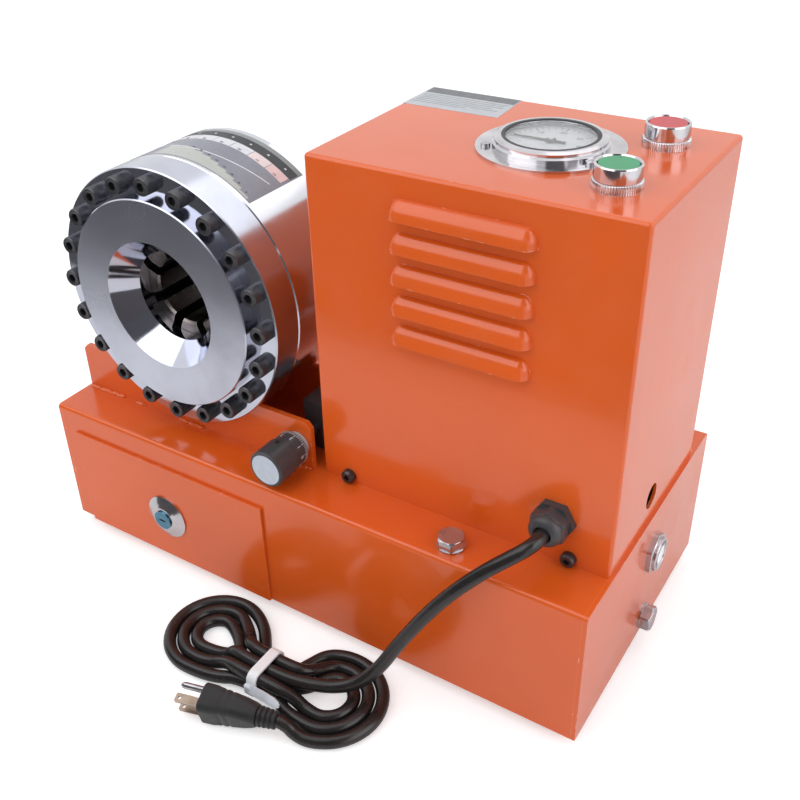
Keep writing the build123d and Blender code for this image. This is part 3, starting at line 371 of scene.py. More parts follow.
@dataclass(frozen=True)
class CapSteel(Finish):
    """Front cap: satin turned face, mirror-turned flange and funnel, by distance from its axis."""

    face: float = 0.24
    mirror: float = 0.045
    rim: float = 0.16
    funnel_edge: Pair = (0.0472, 0.0479)
    flange_edge: Pair = (0.0779, 0.0786)
    rim_edge: Pair = (0.0958, 0.0968)

    def lay(self, graph: Graph) -> None:
        """Polish the zones apart, then smear and ring the steel.

        Args:
            graph: The new material's nodes.
        """
        reach = graph.work("VectorMath", "LENGTH", graph.place((1, 0, 1), HEAD_AXIS))
        funnel = graph.span(reach, self.funnel_edge, (self.mirror * 1.6, self.face))
        flange = graph.span(reach, self.flange_edge, (0.0, self.face - self.mirror))
        rim = graph.span(reach, self.rim_edge, (0.0, self.rim))
        rough = graph.work("Math", "ADD", graph.work("Math", "SUBTRACT", funnel, flange), rim)
        smear = graph.noise(24.0, 4.0)
        uneven = graph.work("Math", "MULTIPLY", rough, graph.span(smear, (0.3, 0.7), (0.85, 1.2)))
        tone = graph.cloud(smear, self.colour, 0.86, (0.35, 0.7))
        graph.set(Metallic=1.0, Base_Color=tone, Roughness=uneven)
        graph.bump(graph.rings(620.0, 2.0, HEAD_AXIS), 0.09, 0.00003)


@dataclass(frozen=True)
class BarrelSteel(Finish):
    """Plated barrel skin: clean and mirror-like, with faint lengthwise polishing and clouding."""

    roughness: float

    def lay(self, graph: Graph) -> None:
        """Cloud the plating and polish it lengthwise.

        Args:
            graph: The new material's nodes.
        """
        smear = graph.noise(18.0, 5.0)
        graph.set(Metallic=1.0, Base_Color=graph.blend(smear, self.colour, shade(self.colour, 0.85)))
        graph.gloss(smear, self.roughness, 0.6, 1.5)
        graph.bump(graph.noise(900.0, 1.0, graph.place((1, 14, 1))), 0.08, 0.00003)


@dataclass(frozen=True)
class Metal(Finish):
    """Small metal hardware: plated or oxide-blacked, a little uneven, brighter on its edges, partly from
    rubbed wear and partly from a painted highlight.
    """

    roughness: float
    # Edge colour: rubbed wear, and a painted highlight along the edges.
    edge: Colour
    edge_width: float = 0.0005
    grain: float = 600.0

    def lay(self, graph: Graph) -> None:
        """Spot the metal, lighten its edges with rubbed wear and a painted highlight, and grain it.

        Args:
            graph: The new material's nodes.
        """
        spots = graph.noise(self.grain / 6, 4.0)
        base = graph.cloud(spots, self.colour, 0.72)
        uneven = graph.span(spots, (0.35, 0.6), (0.3, 1))
        # Painted highlight: edges are lightened towards the edge colour, partly rubbed wear, partly a painted
        # glint.
        edge_wear_and_glint = graph.work("Math", "MULTIPLY", graph.edges(self.edge_width), uneven)
        graph.set(Metallic=1.0, Base_Color=graph.blend(edge_wear_and_glint, base, self.edge))
        graph.gloss(spots, self.roughness, 0.75, 1.35)
        graph.bump(graph.noise(self.grain, 2.0), 0.12, 0.00008)


@dataclass(frozen=True)
class Moulded(Finish):
    """Moulded plastic or rubber with a fine grain."""

    roughness: float
    grain: float = 1400.0
    depth: float = 0.12
    sheen: float = 0.0

    def lay(self, graph: Graph) -> None:
        """Spot the plastic with a paler shade and grain it.

        Args:
            graph: The new material's nodes.
        """
        spots = graph.noise(60.0, 4.0)
        pale = tuple(min(1.0, c * 1.25 + 0.004) for c in self.colour)
        tone = graph.blend(graph.span(spots, (0.3, 0.7), (0, 1)), self.colour, pale)
        graph.set(IOR=1.5, Sheen_Weight=self.sheen, Sheen_Roughness=0.5, Base_Color=tone)
        graph.gloss(spots, self.roughness, 0.8, 1.2)
        graph.bump(graph.noise(self.grain, 2.0), self.depth, 0.00012)


@dataclass(frozen=True)
class Print(Finish):
    """Printed or foil surface: an even colour with slight paper tooth and gloss changes."""

    roughness: float = 0.4

    def lay(self, graph: Graph) -> None:
        """Give the print its tooth.

        Args:
            graph: The new material's nodes.
        """
        tooth = graph.noise(240.0, 3.0)
        graph.set(Base_Color=graph.cloud(tooth, self.colour, 0.93, (0.35, 0.65)))
        graph.gloss(tooth, self.roughness, 0.85, 1.2)
        graph.bump(tooth, 0.05, 0.00005)


@dataclass(frozen=True)
class Glass(Finish):
    """Clear window glass, faintly smudged."""

    def lay(self, graph: Graph) -> None:
        """Clear the glass and smudge it."""
        smudge = graph.span(graph.noise(40.0, 3.0), (0.4, 0.8), (0.0, 0.05))
        graph.set(IOR=1.45, Transmission_Weight=1.0, Base_Color=self.colour, Roughness=smudge)


class Skin(Enum):
    """Every finish on the machine and in the studio."""

    ENAMEL = Enamel("orange_enamel", rgb(230, 97, 32))
    CAP = CapSteel("front_cap_steel", rgb(206, 209, 222))
    BARREL = BarrelSteel("barrel_plating", rgb(222, 222, 230), 0.13)
    PISTON = TurnedSteel("piston_steel", rgb(150, 150, 155), 0.3, HEAD_AXIS)
    # Painted light: the die colour is lifted well above dark oxide to stand in for light that does not reach
    # the recess, and the wide pale edge band is a painted highlight.
    DIE = Metal("die_steel_painted_light", rgb(128, 120, 116), 0.3, rgb(205, 200, 194), 0.0009)
    BLACK_SCREW = Metal("black_oxide", rgb(44, 42, 44), 0.22, rgb(84, 80, 80), 0.0003)
    BRIGHT = Metal("bright_hardware", rgb(198, 198, 204), 0.22, rgb(236, 236, 240))
    CHROME = Metal("chrome_plate", rgb(218, 216, 220), 0.14, rgb(245, 245, 250), grain=300.0)
    BLADE = Metal("blade_plating", rgb(150, 132, 118), 0.24, rgb(226, 218, 206), 0.0003)
    PUMP = Metal("cast_iron", rgb(70, 70, 74), 0.5, rgb(110, 110, 112))
    TEAL = Metal("lock_core_plating", rgb(96, 150, 176), 0.25, rgb(170, 205, 220))
    MOTOR = Moulded("motor_paint", rgb(70, 84, 100), 0.45)
    RUBBER = Moulded("black_rubber", rgb(26, 26, 28), 0.6, sheen=0.15)
    CORD = Moulded("cord_sheath", rgb(32, 28, 28), 0.26, 900.0, 0.04)
    BLACK = Moulded("black_plastic", rgb(16, 15, 15), 0.46)
    GREY = Moulded("grey_plastic", rgb(170, 170, 172), 0.45)
    TIE = Moulded("tie_nylon", rgb(205, 208, 216), 0.4, 500.0, 0.05)
    GREEN = Moulded("green_cap", rgb(28, 140, 88), 0.3, 700.0, 0.04)
    RED = Moulded("red_cap", rgb(190, 34, 48), 0.3, 700.0, 0.04)
    SEAL = Moulded("seal_polymer", rgb(60, 60, 64), 0.5)
    CLOTH = Moulded("flag_cloth", (0.1, 0.1, 0.105), 0.9)
    KNOB_FACE = Print("knob_face", rgb(196, 204, 216), 0.35)
    WHITE = Print("white_print", rgb(226, 226, 232), 0.42)
    INK = Print("dark_print", rgb(38, 40, 44), 0.4)
    GREY_FOIL = Print("grey_foil", rgb(188, 191, 197), 0.34)
    SLATE = Print("slate_print", rgb(136, 138, 150), 0.3)
    SAGE = Print("sage_print", rgb(187, 191, 185), 0.3)
    STONE = Print("stone_print", rgb(140, 146, 146), 0.34)
    PINK = Print("pink_print", rgb(236, 204, 204), 0.36)
    HEADER = Print("header_print", rgb(100, 102, 107), 0.34)
    ROSE = Print("rose_print", rgb(238, 220, 220), 0.36)
    NEEDLE = Print("needle_paint", rgb(26, 26, 28), 0.35)
    GLASS = Glass("gauge_glass", (0.97, 0.98, 0.98))


def paint(thing: Thing, skin: Skin) -> None:
    """Give a piece one finish, whatever it had."""
    thing.data.materials.clear()
    thing.data.materials.append(skin.value.material())


def dress(skin: Skin, *names: str) -> None:
    """Give CAD nodes one finish."""
    for name in names:
        paint(node(name), skin)


# --- mesh helpers
def show(thing: Thing) -> Thing:
    """Put an object into the scene."""
    bpy.context.scene.collection.objects.link(thing)
    return thing


def settle(name: str, shape: Shape) -> Thing:
    """Put a shape into the scene as an object, and free it.

    Args:
        name: The object's name.
        shape: Its mesh.

    Returns:
        The object.
    """
    mesh = bpy.data.meshes.new(name)
    shape.to_mesh(mesh)
    shape.free()
    return show(bpy.data.objects.new(name, mesh))


def piece(name: str, shape: Shape, skin: Skin, smooth: float = 40, body: str = "machine") -> Thing:
    """Turn a shape into a piece that rides on a body.

    Args:
        name: The piece's name.
        shape: Its mesh, which is freed here.
        skin: Its finish.
        smooth: Edges flatter than this many degrees are shaded smooth.
        body: The CAD body that it moves with.

    Returns:
        The piece.
    """
    bmesh.ops.recalc_face_normals(shape, faces=shape.faces)
    limit = math.radians(smooth)
    for face in shape.faces:
        face.smooth = True
    for edge in shape.edges:
        edge.smooth = len(edge.link_faces) == 2 and edge.calc_face_angle(0.0) < limit
    thing = settle(name, shape)
    paint(thing, skin)
    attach(thing, body)
    return thing


def skin_rings(rings: Rings, closed: bool = False, shape: Shape | None = None) -> Shape:
    """Join rings of points into a skin, capped at both ends unless it is closed.

    Args:
        rings: Point rings of equal length.
        closed: Whether the last ring joins the first.
        shape: A mesh to add to.

    Returns:
        The mesh.
    """
    shape = shape or bmesh.new()
    rows = [[shape.verts.new(p) for p in ring] for ring in rings]
    pairs = list(zip(rows, rows[1:])) + ([(rows[-1], rows[0])] if closed else [])
    for first, second in pairs:
        for i in range(len(first)):
            j = (i + 1) % len(first)
            shape.faces.new((first[i], first[j], second[j], second[i]))
    if not closed:
        shape.faces.new(list(reversed(rows[0])))
        shape.faces.new(rows[-1])
    return shape


def slab(corners: list[Pair], foot: float, thick: float, shape: Shape | None = None) -> Shape:
    """A level outline at the height of its foot, thickened upwards, in a new mesh or added to a shape."""
    return skin_rings([[(x, y, z) for x, y in corners] for z in (foot, foot + thick)], shape=shape)


def words(name: str, text: str, size: float, place: Matrix, skin: Skin, body: str = "machine") -> Thing:
    """Plain figures as thin raised print, white or dark.

    Args:
        name: The piece's name.
        text: The figures.
        size: Their height in metres.
        place: Where the middle goes, text upright along the local Y.
        skin: The print's finish.
        body: The CAD body.

    Returns:
        The piece.
    """
    curve = bpy.data.curves.new(name, "FONT")
    curve.body = text
    curve.size = size
    curve.align_x = curve.align_y = "CENTER"
    curve.extrude = 0.00004
    made = show(bpy.data.objects.new(name + "_text", curve))
    bpy.context.view_layer.update()
    mesh = bpy.data.meshes.new_from_object(made)
    bpy.data.objects.remove(made)
    mesh.transform(place)
    shape = bmesh.new()
    shape.from_mesh(mesh)
    bpy.data.meshes.remove(mesh)
    return piece(name, shape, skin, 20, body)


@dataclass(frozen=True)
class Drum:
    """A round skin about an axis along Y, for what is printed on it."""

    axis: Vector
    radius: float
    upright: int = 1

    def point(self, out: float, degrees: float, y: float) -> Point:
        """A point that stands off the skin."""
        x, z = polar(self.radius + out, degrees)
        return self.axis.x + x, y, self.axis.z + z

    def seat(self, out: float, degrees: float, y: float) -> Matrix:
        """Where a figure goes, with its top along Y or against it.

        Args:
            out: How far it stands off the skin.
            degrees: Its place round the axis.
            y: Its place along the axis.

        Returns:
            The figure's place.
        """
        x, z = polar(1, degrees)
        normal, top = Vector((x, 0, z)), Vector((0, self.upright, 0))
        turn = Matrix((top.cross(normal), top, normal)).transposed().to_4x4()
        return Matrix.Translation(self.point(out, degrees, y)) @ turn


# --- camera, light and floor
@dataclass
class Studio:
    """White studio table: camera, soft lamps, black flags and floor."""

    position: Point = (0.366043, -0.530477, 0.556086)
    azimuth: float = 33.926
    elevation: float = 32.104
    roll: float = -1.874
    lens: float = 45.70
    shift: Pair = (0.025, -0.025)
    look_at: Point = (0.0, 0.0, 0.15)
    glow: float = 0.42

    def build(self) -> None:
        """Set the camera, then the surround, the lamps, the floor and the flags."""
        self.aim()
        self.surround()
        self.lamp("key_lamp", (-0.6, -1.05, 1.3), 1.9, 13.4)
        self.lamp("side_lamp", (1.45, -0.1, 0.9), 1.4, 9.0)
        self.lamp("top_lamp", (0.1, 0.7, 1.7), 1.5, 4.5)
        self.floor()
        self.flag("front_flag", (-0.45, -0.40, 0.2), (0.0, 1.0, 0.0), 1.7, 0.4)
        self.flag("camera_flag", (0.55, -0.62, 0.9), (-0.64, 0.5, -0.58), 0.75, 0.75)

    def aim(self) -> None:
        """Create the camera and point it."""
        lens = bpy.data.cameras.new("camera")
        lens.sensor_width = 36.0
        lens.lens = self.lens
        lens.shift_x, lens.shift_y = self.shift
        lens.clip_start = 0.01
        camera = show(bpy.data.objects.new("camera", lens))
        turn = spin(self.azimuth, "Z") @ spin(90 - self.elevation, "X") @ spin(self.roll, "Z")
        camera.matrix_world = Matrix.Translation(self.position) @ turn
        bpy.context.scene.camera = camera
        bpy.context.scene.view_settings.view_transform = "Standard"

    def surround(self) -> None:
        """Make a pale room that is brighter overhead, and pure white where it is seen directly."""
        world = bpy.data.worlds.new("studio_room")
        bpy.context.scene.world = world
        graph = Graph(world, "Background")
        parts = graph.add("SeparateXYZ", Vector=graph.add("TexCoord").outputs["Generated"])
        rise = graph.span(parts.outputs["Z"], (-0.1, 0.9), (0.25, 0.72))
        graph.set(Strength=rise, Color=(0.97, 0.98, 1.0))
        rays = graph.add("LightPath").outputs
        seen_by = graph.work("Math", "MAXIMUM", rays["Is Camera Ray"], rays["Is Glossy Ray"])
        seen_by = graph.work("Math", "MAXIMUM", seen_by, rays["Is Transmission Ray"])
        seen = graph.add("Background", Color=(1, 1, 1), Strength=1.0)
        mix = graph.add("MixShader")
        for socket, value in zip(mix.inputs, (seen_by, graph.shader.outputs[0], seen.outputs[0])):
            graph.feed(socket, value)
        graph.feed(graph.nodes["World Output"].inputs["Surface"], mix.outputs[0])

    def lamp(self, name: str, place: Point, size: float, power: float) -> None:
        """Hang a square soft lamp aimed at the machine.

        Args:
            name: The lamp's name.
            place: Where it hangs.
            size: Its side in metres.
            power: Its power in watts.
        """
        light = bpy.data.lights.new(name, "AREA")
        light.shape = "SQUARE"
        light.size = size
        light.energy = power
        holder = show(bpy.data.objects.new(name, light))
        holder.location = place
        holder.rotation_euler = (Vector(self.look_at) - Vector(place)).to_track_quat("-Z", "Y").to_euler()

    def floor(self) -> None:
        """Lay a white table top under the feet."""
        table = settle("table_top", slab([(-4, -4), (4, -4), (4, 6), (-4, 6)], -0.004, 0.0039))
        white = bpy.data.materials.new("table_white")
        graph = Graph(white)
        rays = graph.add("LightPath").outputs
        seen_by = graph.work("Math", "MAXIMUM", rays["Is Camera Ray"], rays["Is Transmission Ray"])
        tone = graph.blend(graph.noise(60.0, 3.0), (0.9, 0.9, 0.9), (0.87, 0.87, 0.87))
        graph.set(Base_Color=tone, Roughness=0.6)
        graph.set(Emission_Color=(1, 1, 1), Emission_Strength=graph.span(seen_by, (0, 1), (0, self.glow)))
        table.data.materials.append(white)

    def flag(self, name: str, place: Point, facing: Point, wide: float, tall: float) -> None:
        """Stand a black studio flag that only reflections see.

        Args:
            name: The flag's name.
            place: Its middle.
            facing: The way it faces.
            wide: Its width in metres.
            tall: Its height.
        """
        half, rise = wide / 2, tall / 2
        shape = slab([(-half, -rise), (half, -rise), (half, rise), (-half, rise)], 0, -0.002)
        turn = Vector(facing).to_track_quat("Z", "Y").to_matrix().to_4x4()
        shape.transform(Matrix.Translation(place) @ turn)
        card = settle(name, shape)
        paint(card, Skin.CLOTH)
        card.visible_camera = card.visible_diffuse = card.visible_shadow = False
        card.visible_transmission = False


# --- supply cord
@dataclass
class SupplyCord:
    """Round black cord from the gland to the tied bundle and its plug; its points are in millimetres."""

    diameter: float = 0.0093
    length: float = 1.42
    left: Pair = (-37.0, -157.0)
    right: Pair = (67.0, -161.0)
    waist: Pair = (4.0, 38.0)
    layers: Pair = (6.4, 16.2)
    rows: Point = (-161.1, -171.0, -180.9)
    bench: float = 4.7
    plug_at: Point = (0.003, -0.2145, 0.0138)
    plug_turn: float = 195.0
    plug_roll: float = 15.0
    drill: float = 1.15
    blade_gap: float = 6.35

    def lobe(self, at: Pair, reach: float, start: float, stop: float, count: int) -> list[Point]:
        """One turn of a coil: more points of the cord's own spline.

        Args:
            at: The lobe's middle.
            reach: The turn's size.
            start: First direction in degrees.
            stop: Last direction.
            count: Steps between them.

        Returns:
            The turn's points.
        """
        wide = reach / math.cos(math.radians(abs(stop - start) / count / 2))
        turns = [polar(wide, start + (stop - start) * i / count) for i in range(count + 1)]
        return [(at[0] + x, at[1] + y, self.bench) for x, y in turns]

    def line(self) -> list[Point]:
        """The cord's points from the gland to the plug.

        Returns:
            The points.
        """
        first, last = self.waist
        under, over = self.layers
        back, middle, front = self.rows
        points = [(184.5, -92.3, 150.5), (184.5, -98.8, 150.5), (182, -105, 149), (175.5, -110.5, 144)]
        points += [(160.5, -119, 131.5), (141, -126, 109), (124.5, -131.5, 84.5), (108.5, -137.5, 56.5)]
        points += [(97.5, -143.5, 34), (86, -151, 20.5), (72, -158.5, 15.0), (56, -166, 15.6)]
        points += [(last, middle, over), (first, middle, over), (-8.5, -168, 14.2), (-17, -168, 4.7)]
        points += self.lobe(self.left, 14.2, -75, -275, 5) + [(-18, -152.5, 4.7), (-9, -163.5, 4.9)]
        points += [(first, middle, under), (last, middle, under), (49, -164, 5.2)]
        points += self.lobe(self.right, 17, 110, -115, 5) + [(50, -177.5, 10.5)]
        points += [(last, front, over), (first, front, over), (-9, -177.5, 11.5), (-20, -178, 4.7)]
        points += self.lobe(self.left, 24.2, -80, -275, 6)
        points += [(-23, -138.5, 4.7), (-10, -150, 8.2), (-4, -157, 14.5)]
        points += [(first + 3, back, over), (last, back, over), (47, -155.5, 12.2)]
        points += self.lobe(self.right, 27, 116, -112, 6) + [(47, -186.2, 5.0)]
        points += [(last, front, under), (first, front, under), (-10, -187.8, 5.0)]
        points += self.lobe(self.left, 34.1, -75, -280, 7) + [(-12, -132, 4.7), (1, -147, 4.7)]
        points += [(first + 8, back, under), (last - 4, back, under), (38, -147, 4.7)]
        points += self.lobe(self.right, 37, 126, -75, 7)
        return points + [(66, -199.3, 7.5), (60.3, -199.4, 12.6), (54.2, -200.8, 13.8)]

    def build(self) -> None:
        """Lay the cord, then the plug and the tie's loose end."""
        points = self.line()
        curve = bpy.data.curves.new("supply_cord", "CURVE")
        curve.dimensions = "3D"
        curve.bevel_depth = self.diameter / 2
        curve.bevel_resolution = 5
        spline = curve.splines.new("NURBS")
        spline.points.add(len(points) - 1)
        for place, point in zip(spline.points, points):
            place.co = (*(c * MM for c in point), 1.0)
        spline.order_u = 3
        spline.use_endpoint_u = True
        spline.resolution_u = 8
        spline.use_smooth = True
        cord = show(bpy.data.objects.new("supply_cord", curve))
        paint(cord, Skin.CORD)
        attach(cord, "machine")
        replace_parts(cord, "power_cord", "cord_hank")
        plug, pins, tie = self.plug(), self.pins(), self.tie()

    def seated(self, name: str, rings: Rings, skin: Skin, smooth: float = 40) -> Thing:
        """Skin rings in the plug's own millimetres and lay the piece where the plug lies.

        Args:
            name: The piece's name.
            rings: Its rings, with Z from the plug's face to its neck.
            skin: Its finish.
            smooth: Edges flatter than this many degrees are shaded smooth.

        Returns:
            The piece.
        """
        turn = spin(self.plug_turn, "Z") @ spin(-90, "Y") @ spin(self.plug_roll, "Z")
        shape = skin_rings(rings, closed=name.startswith("blade"))
        shape.transform(Matrix.Translation(self.plug_at) @ turn @ Matrix.Scale(MM, 4))
        return piece(name, shape, skin, smooth)

    def plug(self) -> Thing:
        """Mould the plug with its finger grips and ribbed neck.

        Returns:
            The plug.
        """
        steps = [(0, 23.4, 19.4, 4.4), (0.9, 25, 21, 5), (9, 25, 20.6, 5), (12, 24.6, 19.4, 5)]
        steps += [(14, 24.6, 19, 5), (14.6, 23.8, 18.2, 5), (16.4, 23.8, 18, 5), (17, 24.4, 18.6, 5)]
        steps += [(19, 24.2, 18.2, 5), (19.6, 23.3, 17.4, 5), (21.4, 23.1, 17.1, 5), (22, 23.6, 17.6, 5)]
        steps += [(24.5, 23, 17, 5), (31, 20.5, 16.4, 5.5), (37, 17, 15.4, 6.5), (39, 15.6, 14.6, 7)]
        for rib in range(4):
            foot, outer = 39.6 + rib * 3.4, 7.0 - rib * 0.3
            inner = outer - 1.3
            for z, radius in ((0, inner), (0.5, inner), (0.8, outer), (2.4, outer), (2.7, inner)):
                steps.append((foot + z, 2 * radius, 2 * radius, radius * 0.98))
        rings = [self.section(*step) for step in steps]
        body = self.seated("supply_plug", rings, Skin.RUBBER)
        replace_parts(body, "plug_body")
        return body

    def section(self, z: float, wide: float, tall: float, corner: float) -> list[Point]:
        """A rounded rectangle across the plug.

        Args:
            z: Its place along the plug.
            wide: Width.
            tall: Height.
            corner: Corner radius.

        Returns:
            The ring of points.
        """
        ring = []
        for side_x, side_y, start in ((1, 1, 0), (-1, 1, 90), (-1, -1, 180), (1, -1, 270)):
            for i in range(8):
                x, y = polar(corner, start + i * 90 / 7)
                ring.append((side_x * (wide / 2 - corner) + x, side_y * (tall / 2 - corner) + y, z))
        return ring

    def blade(self) -> list[Pair]:
        """Outline of a blade about its hole: square at the plug, narrowed at the tip.

        Returns:
            The outline, across and along the blade.
        """
        outline = []
        for across, along in wheel(1.0, 32):
            fit = min(3.2 / max(abs(across), 1e-6), (3.0 if along < 0 else 15.0) / max(abs(along), 1e-6))
            across, along = across * fit, along * fit
            if along < -2.4:
                across = math.copysign(min(abs(across), 2.5), across)
            outline.append((across, along))
        return outline

    def pins(self) -> list[Thing]:
        """Cut the two drilled blades and turn the earth pin.

        Returns:
            The three pieces.
        """
        made = []
        outline, hole = self.blade(), wheel(self.drill, 32)
        for x, name in ((-self.blade_gap, "blade_left"), (self.blade_gap, "blade_right")):
            rings = [[(x + side, 3.9 + y, z - 15.0) for y, z in edge]
                     for side, edge in ((-0.75, outline), (0.75, outline), (0.75, hole), (-0.75, hole))]
            made.append(self.seated(name, rings, Skin.BLADE, 25))
        steps = ((0, 2.4), (-17.6, 2.4), (-19.4, 2.0), (-20.6, 1.1), (-21, 0.3))
        rings = [[(x, y - 8, z) for x, y in wheel(radius, 24)] for z, radius in steps]
        made.append(self.seated("earth_pin", rings, Skin.BRIGHT))
        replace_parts(made[0], "plug_pins")
        return made

    def tie(self) -> Thing:
        """Fit the tie's ratchet head and loose tail to its band.

        Returns:
            The piece.
        """
        shape = bmesh.new()
        rings = []
        for y, inset in ((-187.1, 0.5), (-187.6, 0.0), (-190.2, 0.0), (-190.8, 0.7)):
            left, right, foot, top = 17 + inset, 25 - inset, 8 + inset, 15 - inset
            box = ((left, foot), (right, foot), (right, top), (left, top))
            rings.append([(x * MM, y * MM, z * MM) for x, z in box])
        skin_rings(rings, shape=shape)
        rings = []
        steps = ((22, -189.2, 13.5, 3.1), (27, -190.6, 15.6, 3.2), (33, -191.6, 17.2, 3.2),
                 (39, -192.2, 17.8, 3.2), (45, -192.6, 17.6, 3.1), (48.5, -192.8, 17.2, 2.2),
                 (50, -192.9, 17.0, 1.0))
        for x, y, z, half in steps:
            lean, rise = half * 0.45, half * 0.89
            ends = ((y - lean, z - rise), (y + lean, z + rise))
            face = [(side - 1.1, up + 0.5) for side, up in reversed(ends)]
            rings.append([(x * MM, side * MM, up * MM) for side, up in (*ends, *face)])
        skin_rings(rings, shape=shape)
        return piece("tie_tail", shape, Skin.TIE, 30)


# --- welded base
@dataclass
class BaseBox:
    """Oil tank base: folded enamelled sheet with the cradle for the head."""

    bead_step: float = 0.0035
    bead_radius: float = 0.0027
    drops: int = 26

    def build(self) -> None:
        """Dress the sheets, feet and cradle, then run the weld beads."""
        dress(Skin.ENAMEL, "base_cover", "base_side_left", "base_side_right", "base_floor", "tank_wall",
              "drawer_runners", "saddle_front", "saddle_rear")
        dress(Skin.RUBBER, "rubber_feet")
        dress(Skin.BLACK_SCREW, "foot_screws")
        foot, end = low("saddle_front"), high("saddle_front")
        face = foot.y - 0.0004
        for name, start, length in (("left", foot.x + 0.002, 0.034), ("middle", foot.x + 0.052, 0.008),
                                    ("right", foot.x + 0.098, 0.022), ("end", end.x - 0.014, 0.012)):
            self.weld(f"saddle_{name}_tack", Vector((start, face, foot.z)), length)
        self.weld("rear_saddle_tack", low("saddle_rear") + Vector((0.01, 0, 0)), 0.04)
        self.spatter(foot, end.x - foot.x)

    def weld(self, name: str, start: Vector, length: float) -> None:
        """Run a tack of overlapping weld ripples along X.

        Args:
            name: The tack's name.
            start: Its left end.
            length: Its length.
        """
        count = max(3, int(length / self.bead_step))
        shape = bmesh.new()
        for i in range(count):
            at = start + Vector((length * (i + 0.5) / count, 0.0005 * math.sin(i * 3.3), 0))
            size = self.bead_radius + 0.0007 * math.sin(i * 2.4) + 0.0004 * math.sin(i * 5.1)
            lump = bmesh.ops.create_icosphere(shape, subdivisions=2, radius=size)
            bmesh.ops.scale(shape, vec=(1.5, 0.95, 0.7), verts=lump["verts"])
            bmesh.ops.translate(shape, vec=at, verts=lump["verts"])
        piece(name, shape, Skin.ENAMEL, 60)

    def spatter(self, foot: Vector, run: float) -> None:
        """Leave a few painted-over drops of weld metal in front of the cradle.

        Args:
            foot: The left end of the cradle's front.
            run: How far the drops are spread along it.
        """
        shape = bmesh.new()
        for i in range(self.drops):
            at = foot + Vector((run * (i * 0.381 % 1.0), -0.003 - 0.011 * (i * 0.617 % 1.0), 0))
            size = 0.0004 + 0.0004 * (i * 0.271 % 1.0)
            drop = bmesh.ops.create_icosphere(shape, subdivisions=1, radius=size)
            bmesh.ops.translate(shape, vec=at, verts=drop["verts"])
        piece("weld_spatter", shape, Skin.ENAMEL, 60)


# --- die drawer
@dataclass
class Drawer:
    """Die storage drawer and its cam lock."""

    def build(self) -> None:
        """Dress the drawer and its lock."""
        dress(Skin.ENAMEL, "drawer_tray", "drawer_front")
        dress(Skin.CHROME, "lock_bezel")
        dress(Skin.TEAL, "lock_core")
        dress(Skin.BRIGHT, "lock_cam")


